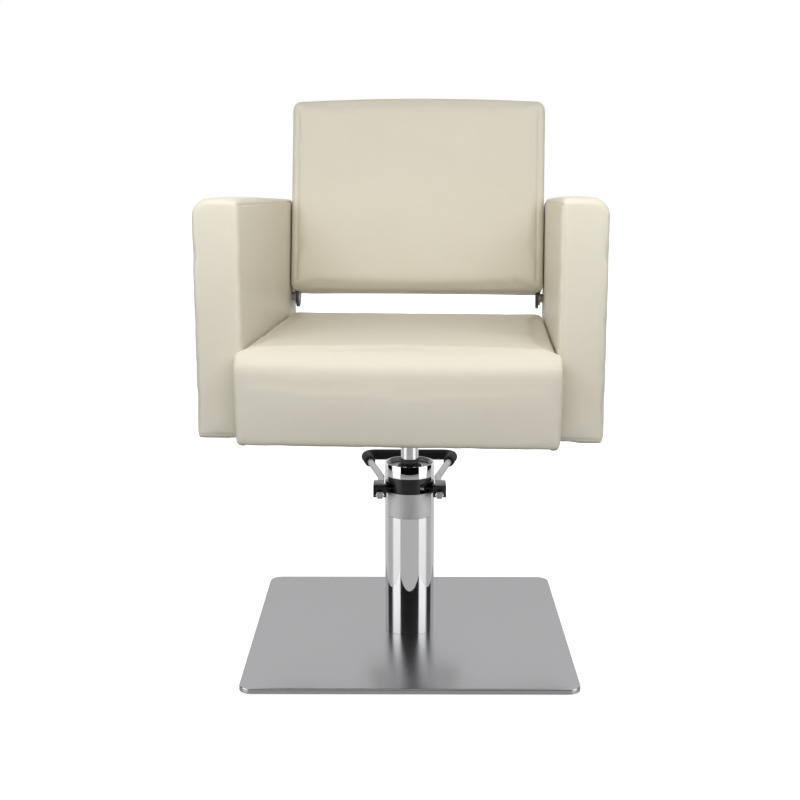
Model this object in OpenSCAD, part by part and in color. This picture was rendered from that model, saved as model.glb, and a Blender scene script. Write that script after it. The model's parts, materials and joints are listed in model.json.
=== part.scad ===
// Reclining hairdressing chair: a square steel foot, a hydraulic column with a foot pedal, and a
// padded armchair that swivels on the ram and whose back reclines between the arms.
// Origin on the floor at the swivel axis, the sitter faces -Y, +Z up, millimetres.
// The armchair is drawn swivelled by turn; the foot and the column stay square to the axes.

/* [Foot] */
// Side of the square foot
foot_w = 540; // [460:5:640]
// Corner radius of the foot
foot_r = 22; // [10:1:40]
// Thickness of the rubber mat under the foot
mat_t = 2; // [1:0.5:4]
// Thickness of the heavy steel plate in the foot
core_t = 7; // [5:1:12]
// Thickness of the stainless cover sheet
cover_t = 1.2; // [0.8:0.1:2]

/* [Column] */
// Outer radius of the chrome column
column_r = 42.5; // [40:0.5:50]
// Wall of the column sleeve
sleeve_t = 1.4; // [1:0.1:2]
// Height of the column's rim above the floor
column_top = 310; // [306:1:330]
// Height of the chrome cap's outer wall
cap_h = 21.5; // [18:0.5:26]
// Depth of the dish in the cap's top
dish_h = 7; // [4:0.5:9]
// Height of the dark band that shows through the sleeve's window
band_h = 26.5; // [24:0.5:32]
// Height of the window plate below the band
plate_h = 43; // [30:1:60]
// Half of the angle that the window opens over
window_angle = 60; // [40:1:66]
// Thickness of the window plate
plate_t = 2; // [1.5:0.1:2.2]

/* [Pump] */
// Radius of the ram
ram_r = 15; // [13:0.5:15]
// Height of the ram's top end
ram_top = 400; // [380:1:420]
// Outer radius of the pump cylinder
cylinder_r = 36; // [32:0.5:38]
// Radius of the piston on the ram
piston_r = 19; // [18:0.5:21]
// Height of the piston
piston_h = 20; // [12:1:30]
// Height of the piston's underside with the chair low
piston_z = 56; // [52:1:70]
// Height of the pump head
head_h = 84; // [76:1:90]
// Radius of the pump plunger
plunger_r = 4; // [3:0.25:4.25]
// Length of the pump plunger
plunger_len = 20; // [14:1:22]

/* [Pedal] */
// Radius of the pedal axle
axle_r = 4.5; // [3.5:0.25:5]
// Distance of the axle in front of the column's middle
axle_y = 24; // [23:0.5:26]
// Height of the axle
axle_z = 270.5; // [269:0.5:273]
// Length of the crank that works the plunger
crank_len = 20; // [18:0.5:22]
// Radius of the pedal's steel rod
rod_r = 6; // [4.5:0.5:7]
// Distance of each pedal leg from the middle
leg_x = 50.5; // [50:0.5:56]
// Height of the pedal rod
leg_z = 262; // [258:0.5:263]
// Where each leg bends outwards, behind the column's middle
bend_y = 77; // [60:1:100]
// Where the crossbar lies, behind the column's middle
bar_y = 247; // [200:1:258]
// Angle that the legs spread outwards by behind the bend
leg_splay = 11.5; // [6:0.5:15]
// Radius of the bend in each leg
bend_r = 30; // [20:1:60]
// Radius of the corner between each leg and the crossbar
corner_r = 16; // [14:1:30]
// Radius of the rubber grip on the crossbar
grip_r = 10; // [8:0.5:12]
// Length of each leg that the grip covers
grip_len = 38; // [20:1:60]

/* [Seat] */
// Swivel of the armchair from square, positive to the sitter's left
turn = -3.4; // [-20:0.1:20]
// Height of the seat's underside
seat_low = 416; // [412:1:440]
// Height of the seat's top at its front
seat_top = 556; // [530:1:575]
// Reach of the seat in front of the swivel axis
seat_front = 342; // [320:1:370]
// Reach of the seat behind the swivel axis
seat_back = 203; // [180:1:210]
// Fall of the seat's top towards the back, degrees
seat_slope = 2; // [0:0.5:4]
// Thickness of the plywood seat board
board_t = 15; // [10:1:20]
// Side of the steel mounting plate
hub_w = 180; // [150:5:200]
// Thickness of the mounting plate
hub_t = 6; // [4:0.5:8]
// Radius of the swivel hub
hub_r = 28; // [24:0.5:34]
// Length of the swivel hub below the plate
hub_h = 65; // [50:1:68]

/* [Arms] */
// Half of the clear width between the arms
arm_gap = 232.5; // [220:0.5:250]
// Width of each arm
arm_t = 67.5; // [64:0.5:90]
// Reach of the arms in front of the swivel axis
arm_front = 300; // [280:1:320]
// Reach of the arms behind the swivel axis
arm_back = 290; // [280:1:310]
// Height of the arms' top at the front
arm_top = 762; // [740:1:790]
// Fall of the arms' top towards the back, degrees
arm_slope = 2.3; // [0:0.1:3]
// Padding on the arm's inner and outer faces
arm_pad = 7.5; // [6:0.5:9]
// Padding over the arm's top, front and back
arm_end_pad = 14; // [10:1:18]
// Thickness of the arm frame's inner panel
panel_t = 12; // [10:0.5:14]

/* [Back] */
// Gap between the back and each arm
back_gap = 1.7; // [1:0.1:4]
// Height of the back along its slope
back_h = 347; // [300:1:400]
// Thickness of the whole back
back_t = 80; // [76:1:95]
// Lean of the back from upright, degrees
back_lean = 11.6; // [6:0.2:16]
// Distance of the back's lower front edge behind the swivel axis
back_y = 182; // [176:1:190]
// Height of the back's lower front edge
back_z = 581; // [576:1:600]
// Thickness of the wooden back frame
frame_t = 17.5; // [12:0.5:20]
// Thickness of the rear panel
rear_t = 10; // [6:0.5:12]

/* [Recline] */
// Distance of the recline pivot behind the swivel axis
pivot_y = 228; // [226:0.5:230]
// Height of the recline pivot
pivot_z = 566; // [564:0.5:568]
// Radius of the pivot shafts
shaft_r = 8; // [6:0.5:9]
// Angle that the back reclines through, degrees
recline = 35; // [25:1:35]
// Distance from the pivot down to the gas spring's line
spring_drop = 58.6; // [54:0.2:62]
// Radius of the crank's cross pin
pin_r = 4; // [3:0.25:4.5]
// Radius of the gas spring's cylinder
gas_r = 10; // [9:0.5:11]
// Length of the gas spring's cylinder
gas_len = 190; // [170:1:200]
// Radius of the gas spring's rod
gas_rod_r = 4; // [3:0.5:5]
// Distance from the gas spring's line down to the release lever's pivot
lever_drop = 42; // [36:1:48]
// Reach of the release lever's handle in front of its pivot
lever_reach = 96; // [70:1:120]

/* [Hidden] */
$fn = 64;

// One overrun for every cut, the step by which ends stand back or out, the running clearance of
// shafts, and the gap between fitted pieces
over = 1;
end_step = 1;
run_gap = 0.05;
fit_gap = 0.2;

chrome = [0.80, 0.81, 0.83];
steel = [0.62, 0.63, 0.65];
black = [0.07, 0.07, 0.08];
cream = [0.84, 0.81, 0.73];
wood = [0.76, 0.62, 0.42];
bronze = [0.72, 0.52, 0.26];

// Foot
core_top = mat_t + core_t;
foot_top = core_top + cover_t;
skirt_share = 0.75;
skirt_gap = mat_t * skirt_share;
mat_inset = 3;
screw_r = 4;
screw_head_r = 7;
screw_head_h = 4;
screw_grip = 13;
flange_r = 38.5;
flange_h = 8;
screw_circle = 27.5;

// Column and pump
sleeve_in = column_r - sleeve_t;
head_gap = 0.6;
head_r = sleeve_in - head_gap;
dish_floor_t = 3;
head_top = column_top - dish_h - dish_floor_t;
head_low = head_top - head_h;
sleeve_top = column_top - cap_h;
plate_top = sleeve_top - band_h;
plate_low = plate_top - plate_h;
bore_floor_t = 11;
bore_gap = 0.5;
head_bore = ram_r + bore_gap;
guide_r = 20;
guide_h = 20;
wiper_h = 4.5;
bush_wall = 2;
bush_in = 8;
bush_out = 18;
crank_x = 21;
crank_w = 6;
crank_gap = 0.6;
crank_hub_r = 7.5;
crank_tip_r = 4;
touch_gap = 0.1;
pocket_h = 20;
plunger_y = crank_len - axle_y;
plunger_top = axle_z - crank_tip_r - touch_gap;
plunger_low = plunger_top - plunger_len;
spring_seat_h = 9;
spring_low = head_low + spring_seat_h;
spring_wire_r = 0.6;
spring_turns = 7;
spring_steps = 10;
spring_coil_r = plunger_r - spring_wire_r - fit_gap;
spigot_r = 10;
nut_h = 10;
nut_r = 14;
washer_t = 3;

// Pedal
block_h = 20;
block_share = 0.3;
block_top = axle_z + block_h * block_share;
block_front = 38;
block_rear = 2;
block_in = 44;
block_out = 62;
boss_in = 39.8;
boss_wall = 5;
boss_rear = axle_y - boss_wall;
thread_r = 4;
nut_flat_r = 7.6;
clamp_nut_h = 7;
elbow_swell = 0.1;
leg_bend = [leg_x + bend_r * (1 - cos(leg_splay)), bend_y + bend_r * sin(leg_splay), 0];
corner_y = bar_y - corner_r * (1 + sin(leg_splay));
crossbar_x = leg_bend[0] + (corner_y - leg_bend[1]) * tan(leg_splay) - corner_r * cos(leg_splay);

// Seat
board_gap = 14.5;
board_half = arm_gap - board_gap;
board_inset = 14;
bush_r = 19;
bolt_r = 4;
bolt_head_r = 7;
bolt_head_h = 5;
bolt_share = 0.39;
bolt_spread = hub_w * bolt_share;
dust_t = 1;
bar_w = 40;
bar_t = 5;
bar_front_y = -150;
bar_rear_y = 140;
small_bolt_r = 3;
small_head_r = 5.5;
small_head_h = 4;
arm_bolt_len = 24;
board_bolt_x = 150;
rib_t = 5;

// Forms
arc_steps = 4;
edge_steps = 5;
seat_gap = 1.2;
seat_edge_r = 11;
seat_nose_r = 30;
seat_rear_r = 16;
seat_crown = 9;
seat_bulge = 5;
arm_edge_r = 8;
arm_shoulder_r = 32;
arm_inner_r = 9;
arm_crown = 2.5;
back_edge_r = 11;
back_corner_r = 20;
back_rim_r = 15;
back_crown = 9;
back_arch = 6.5;
station_shares = [0, 0.12, 0.34, 0.62, 1];

// Arms
frame_in = arm_gap + arm_pad;
frame_out = arm_gap + arm_t - arm_pad;
base_t = 4;
arm_drop = tan(arm_slope) * (arm_front + arm_back);
frame_top = arm_top - arm_drop - arm_end_pad;
frame_front = arm_front - arm_end_pad;
frame_rear = arm_back - arm_end_pad;
outer_panel_t = 8;
rail_t = 16;
cavity_in = frame_in + panel_t;
cavity_out = frame_out - outer_panel_t;
pivot_bush_wall = 3;
bush_out_r = shaft_r + pivot_bush_wall;

// Back
back_half = arm_gap - back_gap;
back_side_pad = 12.8;
frame_half = back_half - back_side_pad;
frame_low_w = 12;
frame_front_t = back_t - rear_t - frame_t;
pivot_t = (pivot_y - back_y) * cos(back_lean) - (pivot_z - back_z) * sin(back_lean);
pivot_w = (pivot_y - back_y) * sin(back_lean) + (pivot_z - back_z) * cos(back_lean);
strap_t = 5;
strap_half = 14;
strap_h = 120;
strap_disc_r = 19;
plate_screw_r = 2.5;
plate_head_r = 4.5;
plate_head_h = 2.4;
plate_screw_len = 25;
plate_screw_shares = [0.25, 0.83];
shaft_flange_r = 13;
shaft_flange_t = 3.5;

// Recline gear
crank_t = 6;
crank_clear = 3;
crank_in = cavity_in + crank_clear;
crank_half = recline / 2;
spring_z = pivot_z - spring_drop;
pin_swing = spring_drop * tan(crank_half);
pin_y = pivot_y + pin_swing;
slot_play = 0.35;
slot_mid = spring_drop / cos(crank_half / 2);
slot_half = 2.2;
crank_boss_r = 16;
crank_end_r = 8.5;
gas_clear = 16;
gas_x = cavity_in + gas_clear;
end_half = 7.5;
end_side = 6;
end_in = crank_in + crank_t + end_step;
end_out = gas_x + end_side;
gas_rear = 150;
gas_front = gas_rear - gas_len;
gas_wall = 2;
gas_piston_h = 8;
gland_h = 10;
rod_inner_y = 62;
saddle_half = 15;
saddle_w = 20;
saddle_shares = [0.2, 0.75];
head_len = 18;
head_half = 10;
release_r = 2.5;
release_out = 10;
release_in = 13;
lever_t = 6;
lever_pin_r = 4;
lever_arm_w = 9;
lever_tip_r = 4;
lever_y = gas_front - head_len - release_out - lever_tip_r - touch_gap;
lever_z = spring_z - lever_drop;
handle_drop = 24;
handle_z = seat_low - handle_drop;
handle_t = 5;
handle_w = 22;
grip_cover = 3;
grip_share = 0.62;
ear_t = 3;
ear_gap = 3;
ear_half = 15;
ear_depth = 18;
slot_front = 14;
slot_rear = 10;

// A box from one corner to the opposite one
module box(lo, hi) {
    translate(lo) cube(hi - lo);
}

// A round bar along X or along Y, about the line through the origin
module bar_along_x(x0, x1, r) {
    translate([x0, 0, 0]) rotate([0, 90, 0]) cylinder(h = x1 - x0, r = r);
}

module bar_along_y(y0, y1, r) {
    translate([0, y0, 0]) rotate([-90, 0, 0]) cylinder(h = y1 - y0, r = r);
}

// A ring about Z
module ring(z0, z1, r_out, r_in) {
    translate([0, 0, z0]) difference() {
        cylinder(h = z1 - z0, r = r_out);
        translate([0, 0, -over]) cylinder(h = z1 - z0 + 2 * over, r = r_in);
    }
}

module rounded_plate(w, r, z0, z1) {
    translate([0, 0, z0]) linear_extrude(height = z1 - z0) {
        square([w - 2 * r, w], center = true);
        square([w, w - 2 * r], center = true);
        for (x = [-1, 1], y = [-1, 1]) translate([x * (w / 2 - r), y * (w / 2 - r)]) circle(r = r);
    }
}

module armchair() {
    rotate([0, 0, turn]) children();
}

module left() {
    mirror([1, 0, 0]) children();
}

// The back's own frame: Y runs to its rear face and Z up its slope, from its lower front edge
module back_place() {
    armchair() translate([0, back_y, back_z]) rotate([-back_lean, 0, 0]) children();
}

// The points of a rounded outline, counter-clockwise, drawn in by inset along each direction
function arc(c, r, inset, start) = [
    for (j = [0 : arc_steps]) let(t = start + 90 * j / arc_steps)
        [c[0] + max(r - inset[0], 0) * cos(t), c[1] + max(r - inset[1], 0) * sin(t)]
];
function arcs(lo, hi, r, inset) = [
    arc([lo[0] + r[0], lo[1] + r[0]], r[0], inset, 180),
    arc([hi[0] - r[1], lo[1] + r[1]], r[1], inset, 270),
    arc([hi[0] - r[2], hi[1] - r[2]], r[2], inset, 0),
    arc([lo[0] + r[3], hi[1] - r[3]], r[3], inset, 90),
];
function outline(lo, hi, r, inset) = let(a = arcs(lo, hi, r, inset)) [
    for (k = [0 : 3]) let(p = a[k][arc_steps], q = a[(k + 1) % 4][0])
        each concat(a[k], [for (i = [1 : edge_steps - 1]) p + (q - p) * i / edge_steps])
];

// How far a rounded edge of radius r draws in at distance d from its end
function draw_in(d, r) = d >= r ? 0 : r - sqrt(r * r - (r - d) * (r - d));

// Stations from one end to the other, close together where the edges round off
function stations(lo, hi, r) = concat(
    [for (s = station_shares) lo + r * s],
    [for (i = [1 : 2 * edge_steps - 1]) lo + r + (hi - lo - 2 * r) * i / (2 * edge_steps)],
    [for (i = [len(station_shares) - 1 : -1 : 0]) hi - r * station_shares[i]]
);
function dome(v, half) = max(0, 1 - pow(v / half, 2));
function ramp(v) = min(1, max(0, v));

module loft(rings) {
    n = len(rings[0]);
    m = len(rings);
    first = rings[0];
    last = rings[m - 1];
    middles = [(first[0] + first[floor(n / 2)]) / 2, (last[0] + last[floor(n / 2)]) / 2];
    polyhedron(
        points = concat([for (r = rings) each r], middles),
        faces = concat(
            [for (i = [0 : m - 2], j = [0 : n - 1]) let(a = i * n + j, b = i * n + (j + 1) % n)
                each [[a, b + n, b], [a, a + n, b + n]]],
            [for (j = [0 : n - 1]) [m * n, j, (j + 1) % n]],
            [for (j = [0 : n - 1]) [m * n + 1, (m - 1) * n + (j + 1) % n, (m - 1) * n + j]]
        )
    );
}

module foot_mat() {
    color(black) rounded_plate(foot_w - 2 * (cover_t + mat_inset), foot_r - cover_t, 0, mat_t);
}

module foot_core() {
    color(steel) difference() {
        rounded_plate(foot_w - 2 * (cover_t + fit_gap), foot_r - cover_t - fit_gap, mat_t, core_top);
        for (a = [45 : 90 : 315]) rotate(a) translate([screw_circle, 0, mat_t - over]) {
            cylinder(h = core_t + 2 * over, r = screw_r + fit_gap);
            cylinder(h = over + screw_head_h + fit_gap, r = screw_head_r + fit_gap);
        }
    }
}

module foot_cover() {
    color(steel) difference() {
        rounded_plate(foot_w, foot_r, skirt_gap, foot_top);
        rounded_plate(foot_w - 2 * cover_t, foot_r - cover_t, skirt_gap - over, core_top);
        translate([0, 0, core_top - over]) cylinder(h = cover_t + 2 * over, r = flange_r + fit_gap);
    }
}

module flange_screws() {
    color(steel) for (a = [45 : 90 : 315]) rotate(a) translate([screw_circle, 0, mat_t]) {
        cylinder(h = screw_head_h, r = screw_head_r);
        cylinder(h = core_t + screw_grip, r = screw_r);
    }
}

module pump_cylinder() {
    color(steel) difference() {
        union() {
            translate([0, 0, core_top]) cylinder(h = head_low - core_top, r = cylinder_r);
            translate([0, 0, core_top]) cylinder(h = flange_h, r = flange_r);
        }
        translate([0, 0, core_top + bore_floor_t])
            cylinder(h = head_low - core_top, r = piston_r + run_gap);
        for (a = [45 : 90 : 315]) rotate(a) translate([screw_circle, 0, core_top - over])
            cylinder(h = screw_grip + 2 * over, r = screw_r + run_gap);
    }
}

module pump_head() {
    color(black) difference() {
        translate([0, 0, head_low]) cylinder(h = head_h, r = head_r);
        translate([0, 0, head_low - over]) cylinder(h = head_h + 2 * over, r = head_bore);
        translate([0, 0, head_top - guide_h]) cylinder(h = guide_h + over, r = guide_r + fit_gap);
        translate([0, -axle_y, axle_z]) {
            bar_along_x(-head_r, head_r, axle_r + fit_gap);
            for (s = [-1, 1]) scale([s, 1, 1]) bar_along_x(bush_in, head_r, axle_r + bush_wall + run_gap);
        }
        box([crank_x - crank_w / 2 - crank_gap, -head_r - over, axle_z - pocket_h],
            [crank_x + crank_w / 2 + crank_gap, plunger_y + crank_tip_r + over,
             axle_z + crank_hub_r + crank_gap]);
        translate([crank_x, plunger_y, spring_low])
            cylinder(h = axle_z - spring_low, r = plunger_r + run_gap);
    }
}

module axle_bushes() {
    color(bronze) for (s = [-1, 1]) translate([0, -axle_y, axle_z]) scale([s, 1, 1]) difference() {
        bar_along_x(bush_in, min(bush_out, crank_x - crank_w / 2 - crank_gap), axle_r + bush_wall);
        bar_along_x(bush_in - over, bush_out + over, axle_r + run_gap);
    }
}

module ram_guide() {
    color(bronze) ring(head_top - guide_h, head_top, guide_r, ram_r + run_gap);
}

module ram_wiper() {
    color(black) ring(head_top, head_top + wiper_h, guide_r - fit_gap, ram_r + run_gap);
}

// The window's sector, from z0 to z1, drawn in by gap at each side
module window_sector(z0, z1, gap) {
    half = window_angle - asin(gap / column_r);
    far = 2 * column_r;
    translate([0, 0, z0]) linear_extrude(height = z1 - z0) polygon([
        [0, 0], [-far * sin(half), -far * cos(half)],
        [0, -far / cos(half)], [far * sin(half), -far * cos(half)],
    ]);
}

module column_sleeve() {
    color(chrome) difference() {
        ring(foot_top, sleeve_top, column_r, sleeve_in);
        window_sector(plate_low, sleeve_top + over, 0);
        translate([0, -axle_y, axle_z])
            bar_along_x(-column_r - over, column_r + over, axle_r + fit_gap);
    }
}

module window_plate() {
    color(steel) intersection() {
        ring(plate_low, plate_top, head_r + fit_gap + plate_t, head_r + fit_gap);
        window_sector(plate_low + fit_gap, plate_top, fit_gap);
    }
}

module column_cap() {
    rim = column_r - sleeve_t;
    color(chrome) rotate_extrude() polygon([
        [head_r + fit_gap, sleeve_top], [column_r, sleeve_top], [column_r, column_top - sleeve_t / 2],
        [column_r - sleeve_t / 2, column_top], [rim - sleeve_t / 2, column_top],
        [rim - sleeve_t, column_top - sleeve_t / 2], [rim - sleeve_t - dish_floor_t, head_top + dish_floor_t],
        [guide_r + fit_gap, head_top + dish_floor_t], [guide_r + fit_gap, head_top],
        [head_r + fit_gap, head_top],
    ]);
}

module plunger_spring() {
    pitch = (plunger_low - spring_low - 2 * spring_wire_r) / spring_turns;
    count = spring_turns * spring_steps;
    sides = 6;
    rings = [for (i = [0 : count]) let(a = 360 * i / spring_steps) [
        for (k = [0 : sides - 1]) let(b = -360 * k / sides, r = spring_coil_r + spring_wire_r * cos(b)) [
            r * cos(a), r * sin(a),
            spring_wire_r + pitch * i / spring_steps + spring_wire_r * sin(b)
        ]
    ]];
    color(steel) translate([crank_x, plunger_y, spring_low]) loft(rings);
}

module pump_plunger() {
    color(steel) translate([crank_x, plunger_y, plunger_low]) cylinder(h = plunger_len, r = plunger_r);
}

module pedal_axle() {
    color(steel) translate([0, -axle_y, axle_z])
        bar_along_x(-block_out + end_step, block_out - end_step, axle_r);
}

module pedal_crank() {
    color(steel) translate([crank_x - crank_w / 2, -axle_y, axle_z]) difference() {
        union() {
            bar_along_x(0, crank_w, crank_hub_r);
            box([0, 0, -crank_tip_r], [crank_w, crank_len, crank_tip_r]);
            translate([0, crank_len, 0]) bar_along_x(0, crank_w, crank_tip_r);
        }
        bar_along_x(-over, crank_w + over, axle_r);
    }
}

module clamp_block() {
    color(black) difference() {
        union() {
            box([block_in, -block_front, block_top - block_h], [block_out, block_rear, block_top]);
            box([boss_in, -block_front, block_top - block_h], [block_in, -boss_rear, block_top]);
        }
        translate([0, -axle_y, axle_z]) bar_along_x(boss_in - over, block_out - end_step, axle_r);
        translate([leg_x, 0, leg_z]) bar_along_y(-block_front - over, block_rear + over, thread_r);
    }
}

module clamp_nuts() {
    color(chrome) for (x = [-1, 1]) translate([x * leg_x, -block_front, leg_z]) difference() {
        rotate([90, 0, 0]) cylinder(h = clamp_nut_h, r = nut_flat_r, $fn = 6);
        bar_along_y(-clamp_nut_h - over, over, thread_r);
    }
}

// A bent round bar about Z: from one heading, through an angle. It swells a little over the straight
// bars at its ends, as a bent tube does
module elbow(start, angle, bend, r) {
    extra = atan(over / bend);
    rotate(start - extra) rotate_extrude(angle = angle + 2 * extra)
        translate([bend, 0]) circle(r = r + elbow_swell);
}

// One pedal leg and its corner as a round bar of radius r, whole or only where the grip covers it
module leg(r, whole) {
    run = (corner_y - leg_bend[1]) / cos(leg_splay);
    if (whole) {
        translate([leg_x, 0, 0]) bar_along_y(block_rear, bend_y, r);
        translate([leg_x + bend_r, bend_y, 0]) elbow(180 - leg_splay, leg_splay, bend_r, r);
    }
    translate(leg_bend) rotate(-leg_splay) bar_along_y(whole ? 0 : run - grip_len, run, r);
    translate([crossbar_x, bar_y - corner_r, 0]) elbow(-leg_splay, 90 + leg_splay, corner_r, r);
}

module pedal_shape(r, whole) {
    translate([0, 0, leg_z]) {
        translate([0, bar_y, 0]) bar_along_x(-crossbar_x, crossbar_x, r);
        for (s = [0, 1]) mirror([s, 0, 0]) leg(r, whole);
    }
}

module pedal_bar() {
    color(chrome) {
        pedal_shape(rod_r, true);
        for (s = [-1, 1]) translate([s * leg_x, 0, leg_z])
            bar_along_y(-block_front - clamp_nut_h - end_step, block_rear, thread_r);
    }
}

module pedal_grip() {
    color(black) difference() {
        pedal_shape(grip_r, false);
        pedal_shape(rod_r, true);
    }
}

module ram_rod() {
    color(chrome) {
        translate([0, 0, piston_z + piston_h]) cylinder(h = ram_top - piston_z - piston_h, r = ram_r);
        translate([0, 0, piston_z - nut_h]) cylinder(h = piston_h + nut_h, r = spigot_r);
    }
}

module ram_piston() {
    color(bronze) ring(piston_z, piston_z + piston_h, piston_r, spigot_r);
}

module piston_nut() {
    color(steel) translate([0, 0, piston_z - nut_h]) difference() {
        cylinder(h = nut_h, r = nut_r, $fn = 6);
        translate([0, 0, -over]) cylinder(h = nut_h + 2 * over, r = spigot_r);
    }
}

module thrust_washer() {
    color(bronze) translate([0, 0, ram_top]) cylinder(h = washer_t, r = ram_r);
}

module seat_hub() {
    plate_z = seat_low - hub_t;
    color(steel) armchair() difference() {
        union() {
            box([-hub_w / 2, -hub_w / 2, plate_z], [hub_w / 2, hub_w / 2, seat_low]);
            translate([0, 0, plate_z - hub_h]) cylinder(h = hub_h, r = hub_r);
            for (a = [0 : 90 : 270]) rotate(a + 45) rotate([90, 0, 0]) translate([0, 0, -rib_t / 2])
                linear_extrude(height = rib_t) polygon([
                    [hub_r - rib_t, plate_z], [hub_w / 2, plate_z],
                    [hub_r, plate_z - hub_h / 2], [hub_r - rib_t, plate_z - hub_h / 2],
                ]);
        }
        translate([0, 0, plate_z - hub_h - over])
            cylinder(h = ram_top + washer_t - plate_z + hub_h + over, r = bush_r + run_gap);
        for (x = [-1, 1], y = [-1, 1]) translate([x * bolt_spread, y * bolt_spread, plate_z - over])
            cylinder(h = hub_t + 2 * over, r = bolt_r + fit_gap);
    }
}

module swivel_bush() {
    color(bronze) ring(seat_low - hub_t - hub_h, ram_top - end_step, bush_r, ram_r + run_gap);
}

module hub_bolts() {
    color(steel) armchair() for (x = [-1, 1], y = [-1, 1])
        translate([x * bolt_spread, y * bolt_spread, seat_low - hub_t]) {
            translate([0, 0, -bolt_head_h]) cylinder(h = bolt_head_h, r = bolt_head_r, $fn = 6);
            cylinder(h = hub_t + board_t, r = bolt_r);
        }
}

module seat_board() {
    color(wood) armchair() difference() {
        box([-board_half, board_inset - seat_front, seat_low],
            [board_half, seat_back - board_inset, seat_low + board_t]);
        for (x = [-1, 1], y = [-1, 1]) translate([x * bolt_spread, y * bolt_spread, seat_low - over])
            cylinder(h = board_t + 2 * over, r = bolt_r + run_gap);
        for (x = [-1, 1], y = [bar_front_y, bar_rear_y]) translate([x * board_bolt_x, y, seat_low - over])
            cylinder(h = board_t + 2 * over, r = small_bolt_r + run_gap);
    }
}

module dust_cover() {
    color(black) armchair() difference() {
        box([-board_half, board_inset - seat_front, seat_low - dust_t],
            [board_half, seat_back - board_inset, seat_low]);
        box([-hub_w / 2 - over, -hub_w / 2 - over, seat_low - dust_t - over],
            [hub_w / 2 + over, hub_w / 2 + over, seat_low + over]);
        for (y = [bar_front_y, bar_rear_y])
            box([-arm_gap, y - bar_w / 2 - over, seat_low - dust_t - over],
                [arm_gap, y + bar_w / 2 + over, seat_low + over]);
    }
}

module seat_cushion() {
    half = arm_gap - seat_gap;
    mid_y = (seat_back - seat_front) / 2;
    half_y = (seat_back + seat_front) / 2;
    thick = seat_top - seat_low;
    rings = [for (x = stations(-half, half, seat_edge_r))
        let(e = draw_in(half - abs(x), seat_edge_r), wide = dome(x, half))
        [for (p = outline([-seat_front, seat_low], [seat_back, seat_top],
                [seat_edge_r, seat_edge_r, seat_rear_r, seat_nose_r], [e, e]))
            let(up = (p[1] - seat_low) / thick, near = ramp((mid_y - p[0]) / half_y))
            [x, p[0] - seat_bulge * pow(near, 8) * wide * dome(up - 0.5, 0.5),
                max(p[1], seat_low) + up * up * (seat_crown * wide * dome(p[0] - mid_y, half_y)
                    - tan(seat_slope) * (p[0] + seat_front))]]];
    color(cream) armchair() difference() {
        loft(rings);
        box([-board_half - fit_gap, board_inset - seat_front - fit_gap, seat_low - seat_edge_r],
            [board_half + fit_gap, seat_back - board_inset + fit_gap, seat_low + board_t + fit_gap]);
    }
}

module cross_bars() {
    color(steel) armchair() for (y = [bar_front_y, bar_rear_y]) difference() {
        box([-cavity_in, y - bar_w / 2, seat_low - bar_t], [cavity_in, y + bar_w / 2, seat_low]);
        for (x = [-cavity_in + panel_t / 2, -board_bolt_x, board_bolt_x, cavity_in - panel_t / 2])
            translate([x, y, seat_low - bar_t - over])
                cylinder(h = bar_t + 2 * over, r = small_bolt_r + fit_gap);
    }
}

module cross_bar_bolts() {
    color(steel) armchair() for (y = [bar_front_y, bar_rear_y], s = [-1, 1])
        for (b = [[board_bolt_x, board_t], [cavity_in - panel_t / 2, arm_bolt_len]])
            translate([s * b[0], y, seat_low - bar_t]) {
                translate([0, 0, -small_head_h]) cylinder(h = small_head_h, r = small_head_r, $fn = 6);
                cylinder(h = bar_t + b[1], r = small_bolt_r);
            }
}

module arm_frame() {
    color(wood) difference() {
        box([frame_in, -frame_front, seat_low + base_t], [frame_out, frame_rear, frame_top]);
        box([cavity_in, rail_t - frame_front, seat_low + base_t - over],
            [cavity_out, frame_rear - rail_t, frame_top - rail_t]);
        translate([0, pivot_y, pivot_z]) bar_along_x(frame_in - over, cavity_in + over, bush_out_r + run_gap);
        for (y = [bar_front_y, bar_rear_y])
            translate([cavity_in - panel_t / 2, y, seat_low + base_t - over])
                cylinder(h = arm_bolt_len - base_t + over + fit_gap, r = small_bolt_r + run_gap);
    }
}

module arm_base(slotted) {
    color(black) difference() {
        box([frame_in, -frame_front, seat_low], [frame_out, frame_rear, seat_low + base_t]);
        for (y = [bar_front_y, bar_rear_y]) translate([cavity_in - panel_t / 2, y, seat_low - over])
            cylinder(h = base_t + 2 * over, r = small_bolt_r + fit_gap);
        if (slotted) box([gas_x - lever_t / 2 - over, lever_y - slot_front, seat_low - over],
            [gas_x + lever_t / 2 + over, lever_y + slot_rear, seat_low + base_t + over]);
    }
}

module arm_cover() {
    outer = arm_gap + arm_t;
    mid = arm_gap + arm_t / 2;
    tall = arm_top - seat_low;
    deep = arm_front + arm_back;
    ys = stations(-arm_front, arm_back, arm_edge_r);
    rings = [for (i = [len(ys) - 1 : -1 : 0])
        let(y = ys[i], e = draw_in(min(arm_back - y, y + arm_front), arm_edge_r))
        [for (p = outline([arm_gap, seat_low], [outer, arm_top],
                [arm_edge_r, arm_edge_r, arm_shoulder_r, arm_inner_r], [e, e]))
            let(up = (p[1] - seat_low) / tall, along = dome(y + arm_front - deep / 2, deep / 2))
            [p[0] + arm_crown * ramp((p[0] - mid) / (arm_t / 2)) * along * dome(up - 0.5, 0.5), y,
                p[1] + up * (arm_crown * along * dome(p[0] - mid, arm_t / 2) * pow(up, 4)
                    - tan(arm_slope) * (y + arm_front))]]];
    color(cream) difference() {
        loft(rings);
        box([frame_in - fit_gap, -frame_front - fit_gap, seat_low - arm_edge_r],
            [frame_out + fit_gap, frame_rear + fit_gap, frame_top + fit_gap]);
        translate([0, pivot_y, pivot_z]) bar_along_x(arm_gap - arm_pad, frame_in, bush_out_r + end_step);
    }
}

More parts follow.
